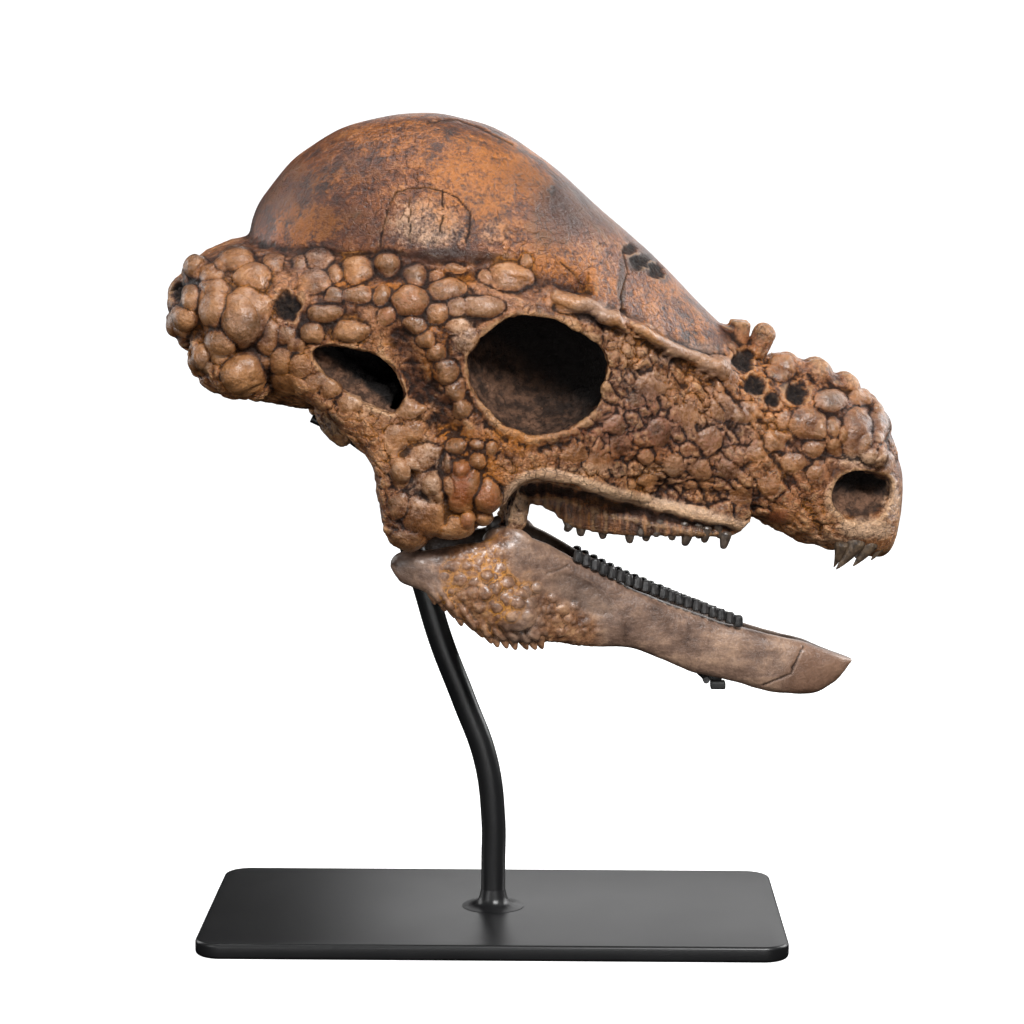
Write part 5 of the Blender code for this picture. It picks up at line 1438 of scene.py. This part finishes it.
def jawBone(name):
    look, f = jawColours, finish(name)
    slanted = node(f.tree, "ShaderNodeMapping", {"Vector": f.place, "Rotation": (0.0, -0.42, 0.0),
                                                 "Scale": (18.0, 60.0, 110.0)}).outputs[0]
    fibre = f.grain(1.0, 7, 0.65, slanted)
    patches = f.grain(look["patches"], 4, 0.6)
    mottle = f.grain(look["mottle"], 6, 0.65)
    speck = f.grain(look["speck"], 4, 0.6)
    crease = f.mask("crease")
    blend = f.scaled(fibre, 0.30, f.scaled(patches, 0.42, f.times(mottle, 0.28)))
    f.colour = f.ramp(blend, (0.40, look["dark"]), (0.5, look["mid"]), (0.62, look["light"]))
    for region, share in (("chin", 0.6), ("facet", 0.4), ("lobe", 0.75)):
        f.lay(f.times(f.mask(region), share), look[region])
    brown = f.ramp(mottle, (0.36, look["patchDark"]), (0.52, look["patch"]), (0.66, look["patchLight"]))
    f.lay(f.times(f.maths("MAXIMUM", f.mask("patch"), f.mask("grainy")), 0.85), brown)
    yellow = f.times(f.times(f.mask("patch"), f.band(crease, 0.48, 0.72)), f.band(patches, 0.38, 0.56))
    f.lay(f.times(yellow, 0.8), look["ochre"])
    # painted shade in the deepest creases, then lighter raised places, partly wear and partly painted highlight
    f.lay(f.band(crease, 0.74, 1.0, 0.7), look["creviceDirtAndShade"])
    f.lay(f.band(crease, 0.40, 0.05, 0.25), look["light"])
    f.lay(f.times(f.mask("broken"), 0.65), look["creviceDirtAndShade"])
    # painted shade: the jaw's inner side is laid dark
    f.lay(f.times(f.mask("inner"), 0.75), look["inner"])
    f.shade(f.band(speck, 0.3, 0.7, 1.12, 0.86))
    fine = f.scaled(fibre, 0.9, f.scaled(speck, 0.9, f.times(mottle, 1.3)))
    return f.done({"Roughness": f.scaled(mottle, 0.3, 0.20), "Specular IOR Level": look["specular"],
                   "Normal": f.bump(fine, 0.6, 0.0011), "Coat Weight": f.band(crease, 0.62, 0.42, 0.3),
                   "Coat Roughness": look["coatRoughness"]})


def enamel(name, low, high, gloss):
    f = finish(name)
    mottle = f.grain(260, 5, 0.6)
    f.colour = f.ramp(mottle, (0.35, low), (0.65, high))
    return f.done({"Roughness": gloss, "Normal": f.bump(mottle, 0.4, 0.0006)})


def steelPaint(name, gloss):
    f = finish(name)
    cloud = f.grain(9, 5, 0.6)
    orangePeel = f.grain(1500, 2, 0.5)
    f.colour = f.ramp(cloud, (0.3, tone(21, 21, 22)), (0.7, tone(27, 27, 28)))
    return f.done({"Roughness": f.scaled(cloud, 0.10, gloss), "Normal": f.bump(orangePeel, 0.12, 0.0003),
                   "Specular IOR Level": 0.4})


finishes = {
    "dome_bone": skullBone("domeBone"), "rough_bone": skullBone("roughBone"), "face_bone": skullBone("faceBone"),
    "jaw_bone": jawBone("jawBone"), "black_steel": steelPaint("blackSteel", 0.30),
    "black_rubber": enamel("padRubber", tone(14, 14, 14), tone(24, 24, 24), 0.6),
}
toothFinishes = {
    "upper": enamel("upperEnamel", tone(48, 40, 36), tone(92, 78, 66), 0.38),
    "lower": enamel("lowerEnamel", tone(26, 26, 27), tone(58, 56, 55), 0.35),
    "front": enamel("frontEnamel", tone(52, 42, 34), tone(104, 86, 68), 0.35),
    "spike": enamel("spikeBone", tone(84, 58, 42), tone(142, 104, 76), 0.36),
}
boneSlots = {"dome": "dome_bone", "nasal": "face_bone", "premaxilla": "face_bone", "lacrimal": "face_bone",
             "maxilla": "face_bone", "braincase": "rough_bone", "squamosal": "rough_bone",
             "postorbital": "rough_bone", "jugal": "rough_bone", "surangular": "jaw_bone",
             "dentary": "jaw_bone", "predentary": "jaw_bone"}


def buildTeeth():
    plate, plan, row = curveThrough(skull["platePlan"]), curveThrough(jaw["plan"]), teeth["lowerLine"]
    made = {}
    for side, word in sideNames.items():
        roots = [((x, side * plate(x), z + teeth["upperRoot"]), (x, side * plate(x), z))
                 for x, z in teeth["upper"]]
        made["upperTeeth_" + word] = toothRow("upperTeeth", roots, teeth["upperShape"], toothFinishes["upper"])
        roots = []
        for k in range(teeth["lowerCount"]):
            x = row[0][0] + (row[-1][0] - row[0][0]) * k / (teeth["lowerCount"] - 1)
            z = curveThrough(row)(x) + rollDrop(side, x) - (teeth["lowerFar"] if side == left else 0.0)
            y = side * (plan(x) + teeth["lowerOut"])
            roots.append(((x, y, z - teeth["lowerRoot"]), (x, y, z + teeth["lowerTip"])))
        made["lowerTeeth_" + word] = toothRow("lowerTeeth", roots, teeth["lowerShape"], toothFinishes["lower"])
        (backX, upZ), (frontX, downZ), out = teeth["spikeRoot"], teeth["spikeTip"], teeth["spikeOut"]
        roots = [((x - backX, side * (plan(x) + out), z + upZ + rollDrop(side, x)),
                  (x + frontX, side * (plan(x) + out), z - downZ + rollDrop(side, x))) for x, z in teeth["spikes"]]
        made["jawSpikes_" + word] = toothRow("jawSpikes", roots, teeth["spikeShape"], toothFinishes["spike"])
    roots = [((a + shift, side * b, c), (d + shift, side * e, f))
             for side, shift in ((right, 0.0), (left, teeth["frontShift"]))
             for (a, b, c), (d, e, f) in teeth["front"]]
    made["frontTeeth"] = toothRow("frontTeeth", roots, teeth["frontShape"], toothFinishes["front"])
    return made


toothPieces = buildTeeth()
toothSlots = {"upperTeeth": "face_bone", "frontTeeth": "face_bone", "lowerTeeth": "jaw_bone",
              "jawSpikes": "jaw_bone"}
print("teeth set")

# the stand: route and weld as (x, z) and (radius, height), the rest as (x, y, z)
stand = {
    "length": 0.482, "depth": 0.254, "thickness": 0.013, "corner": 0.022, "edge": 0.003, "rod": 0.0205,
    "wire": 0.007, "bar": 0.0055,
    "route": [
        (-0.001, 0.0133), (-0.001, 0.05), (-0.001, 0.087), (-0.0075, 0.1385), (-0.026, 0.19), (-0.0455, 0.241),
        (-0.06, 0.29), (-0.078, 0.345), (-0.094, 0.395), (-0.102, 0.425)
    ],
    "weld": [
        (0.0262, 0.0003), (0.0225, 0.0009), (0.0185, 0.0016), (0.0155, 0.0028), (0.0132, 0.0048),
        (0.0117, 0.0085), (0.0102, 0.015)
    ],
    "prong": [(-0.093, 0.004, 0.392), (-0.106, 0.02, 0.402), (-0.128, 0.032, 0.419), (-0.15, 0.034, 0.43)],
    "arm": [(-0.058, 0.0, 0.285), (0.0, 0.0, 0.28), (0.1, 0.0, 0.256), (0.15, 0.0, 0.234), (0.176, 0.0, 0.212)],
    "barEnd": (0.176, 0.026), "barGap": 0.0012, "pad": (0.0125, 0.012, 0.0065), "padAt": (0.1855, 0.0265),
    "ripple": 0.012, "rippleHeights": (0.0007, 0.006), "weldSink": 0.0003, "padGap": 0.0016, "padEdge": 0.0014,
}


def buildPlate():
    bm = bmesh.new()
    size = (stand["length"], stand["depth"], stand["thickness"], 1)
    place = Matrix.Translation((0, 0, stand["thickness"] / 2)) @ Matrix.Diagonal(size)
    bmesh.ops.create_cube(bm, size=1, matrix=place)
    upright = [e for e in bm.edges if abs(e.verts[0].co.z - e.verts[1].co.z) > 0.005]
    bmesh.ops.bevel(bm, geom=upright, offset=stand["corner"], segments=16, affect="EDGES", profile=0.5)
    rims = [e for e in bm.edges if abs(e.verts[0].co.z - e.verts[1].co.z) < 0.001
            and e.calc_face_angle(0) > 1.0]
    bmesh.ops.bevel(bm, geom=rims, offset=stand["edge"], segments=5, affect="EDGES", profile=0.5)
    return fromBmesh("basePlate", bm)


# a bead of weld round the rod's foot, with the slight ripples of a hand-laid one
def buildWeld():
    n, verts = 96, []
    (x0, z0), ripple, (low, high) = stand["route"][0], stand["ripple"], stand["rippleHeights"]
    for r, z in stand["weld"]:
        for k in range(n):
            a = 2 * math.pi * k / n
            uneven = 1 + ripple * math.sin(13 * a) * math.sin(5 * a) if low < z < high else 1.0
            verts.append((x0 + r * uneven * math.cos(a), r * uneven * math.sin(a), z0 - stand["weldSink"] + z))
    return addMesh("rodWeld", verts, ringFaces(len(stand["weld"]), n))


def buildPost():
    wire, bar = stand["wire"], stand["bar"]
    parts = [tube("rod", [(x, 0.0, z) for x, z in stand["route"]], stand["rod"], 10, 12)]
    parts += [tube("prong", [(x, side * y, z) for x, y, z in stand["prong"]], wire, 5, 8)
              for side in (right, left)]
    parts.append(tube("arm", stand["arm"], wire, 5, 8))
    x, y = stand["barEnd"]
    underJaw = curveThrough(jaw["bottom"])(x) - bar / 2 - stand["barGap"]
    parts.append(tube("bar", [(x, side * y, underJaw + rollDrop(side, x)) for side in (right, left)], bar, 5, 2))
    return joinMeshes("standRod", parts)


def buildPad(side):
    x, y = stand["padAt"]
    size = stand["pad"]
    bottom = curveThrough(jaw["bottom"])(x) + rollDrop(side, x) - stand["padGap"]
    bm = bmesh.new()
    place = Matrix.Translation((x, side * y, bottom - size[2] / 2)) @ Matrix.Diagonal((*size, 1))
    bmesh.ops.create_cube(bm, size=1, matrix=place)
    bmesh.ops.bevel(bm, geom=bm.edges[:], offset=stand["padEdge"], segments=4, affect="EDGES", profile=0.5)
    return fromBmesh("jawPad", bm)


standPieces = {"basePlate": (buildPlate(), "stand_base", "black_steel", 35),
               "standRod": (buildPost(), "stand_post", "black_steel", 50),
               "rodWeld": (buildWeld(), None, "black_steel", 50)}
for side, word in sideNames.items():
    standPieces["jawPad_" + word] = (buildPad(side), "stand_pad_" + word, "black_rubber", 50)
print("stand built")


def dress(piece, name, slotName, replaced=None, material=None):
    piece.name = name
    if material:
        piece.data.shade_smooth()
        piece.data.materials.clear()
        piece.data.materials.append(material)
    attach(piece, "root")
    if replaced:
        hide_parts(replaced)


for boneName, piece in bones.items():
    slotName = boneSlots[boneName.split("_")[0]]
    dress(piece, boneName + "_bone", slotName, boneName, finishes[slotName])
for name, piece in toothPieces.items():
    dress(piece, name, toothSlots[name.split("_")[0]])
for name, (piece, replaced, slotName, sharp) in standPieces.items():
    dress(piece, name, slotName, replaced, finishes[slotName])
    piece.data.set_sharp_from_angle(angle=math.radians(sharp))
print("pieces dressed")

# floor, light and air
studio = {
    "floorHalf": 4.0, "sweepStart": 2.6, "sweepRadius": 1.0, "wall": 3.5, "paper": 0.93, "air": 1.0,
    "lamps": {
        "key": {"at": (0.7, -1.6, 1.75), "aim": (0.03, 0.0, 0.42), "power": 64, "size": (0.5, 0.5)},
        "fill": {"at": (-1.5, -1.6, 0.9), "aim": (0.0, 0.0, 0.42), "power": 14, "size": (0.8, 1.2)},
        "bounce": {"at": (0.05, -1.7, 0.12), "aim": (0.02, 0.0, 0.42), "power": 8, "size": (1.8, 0.2)},
        "top": {"at": (-0.2, 0.1, 2.2), "aim": (0.0, 0.0, 0.5), "power": 22, "size": (1.2, 0.7)},
        "rimRight": {"at": (1.7, 0.9, 1.1), "aim": (0.0, 0.0, 0.5), "power": 34, "size": (0.8, 1.4)},
        "rimLeft": {"at": (-1.7, 0.9, 0.9), "aim": (0.0, 0.0, 0.5), "power": 14, "size": (0.8, 1.4)},
        "back": {"at": (0.7, 2.2, 1.0), "aim": (0.0, 0.0, 0.2), "power": 12, "size": (2.2, 1.2)},
    },
}


# the floor sweeps up to a wall behind, and throws no light back on the bone
def buildFloor():
    r, start, half = studio["sweepRadius"], studio["sweepStart"], studio["floorHalf"]
    line = [(-half, 0.0), (start, 0.0)]
    line += [(start + r * math.sin(a), r - r * math.cos(a)) for a in np.linspace(0.1, math.pi / 2, 14)]
    line.append((start + r, studio["wall"]))
    verts = [(side * half, y, z) for y, z in line for side in (right, left)]
    faces = [(2 * k, 2 * k + 1, 2 * k + 3, 2 * k + 2) for k in range(len(line) - 1)]
    mesh = bpy.data.meshes.new("floor")
    mesh.from_pydata(verts, [], faces)
    mesh.shade_smooth()
    obj = addObject("floor", mesh)
    paper = finish("paper")
    paper.colour = (0.7, 0.7, 0.7, 1)
    mesh.materials.append(paper.done({"Roughness": 0.9, "Specular IOR Level": 0.0, "Emission Color": (1, 1, 1, 1),
                                      "Emission Strength": studio["paper"]}))
    obj.visible_diffuse = obj.visible_glossy = False


buildFloor()
for name, lamp in studio["lamps"].items():
    light = addObject(name, bpy.data.lights.new(name, "AREA"))
    light.data.shape = "RECTANGLE"
    light.data.energy, (light.data.size, light.data.size_y) = lamp["power"], lamp["size"]
    light.location = lamp["at"]
    light.rotation_euler = (Vector(lamp["aim"]) - Vector(lamp["at"])).to_track_quat("-Z", "Y").to_euler()
world = bpy.data.worlds.new("studio")
scene.world = world
world.use_nodes = True
world.node_tree.nodes["Background"].inputs[0].default_value = (1, 1, 1, 1)
world.node_tree.nodes["Background"].inputs[1].default_value = studio["air"]
world.cycles_visibility.diffuse = world.cycles_visibility.glossy = False
scene.view_settings.view_transform = "Standard"
scene.view_settings.look = "None"
print("studio lit")
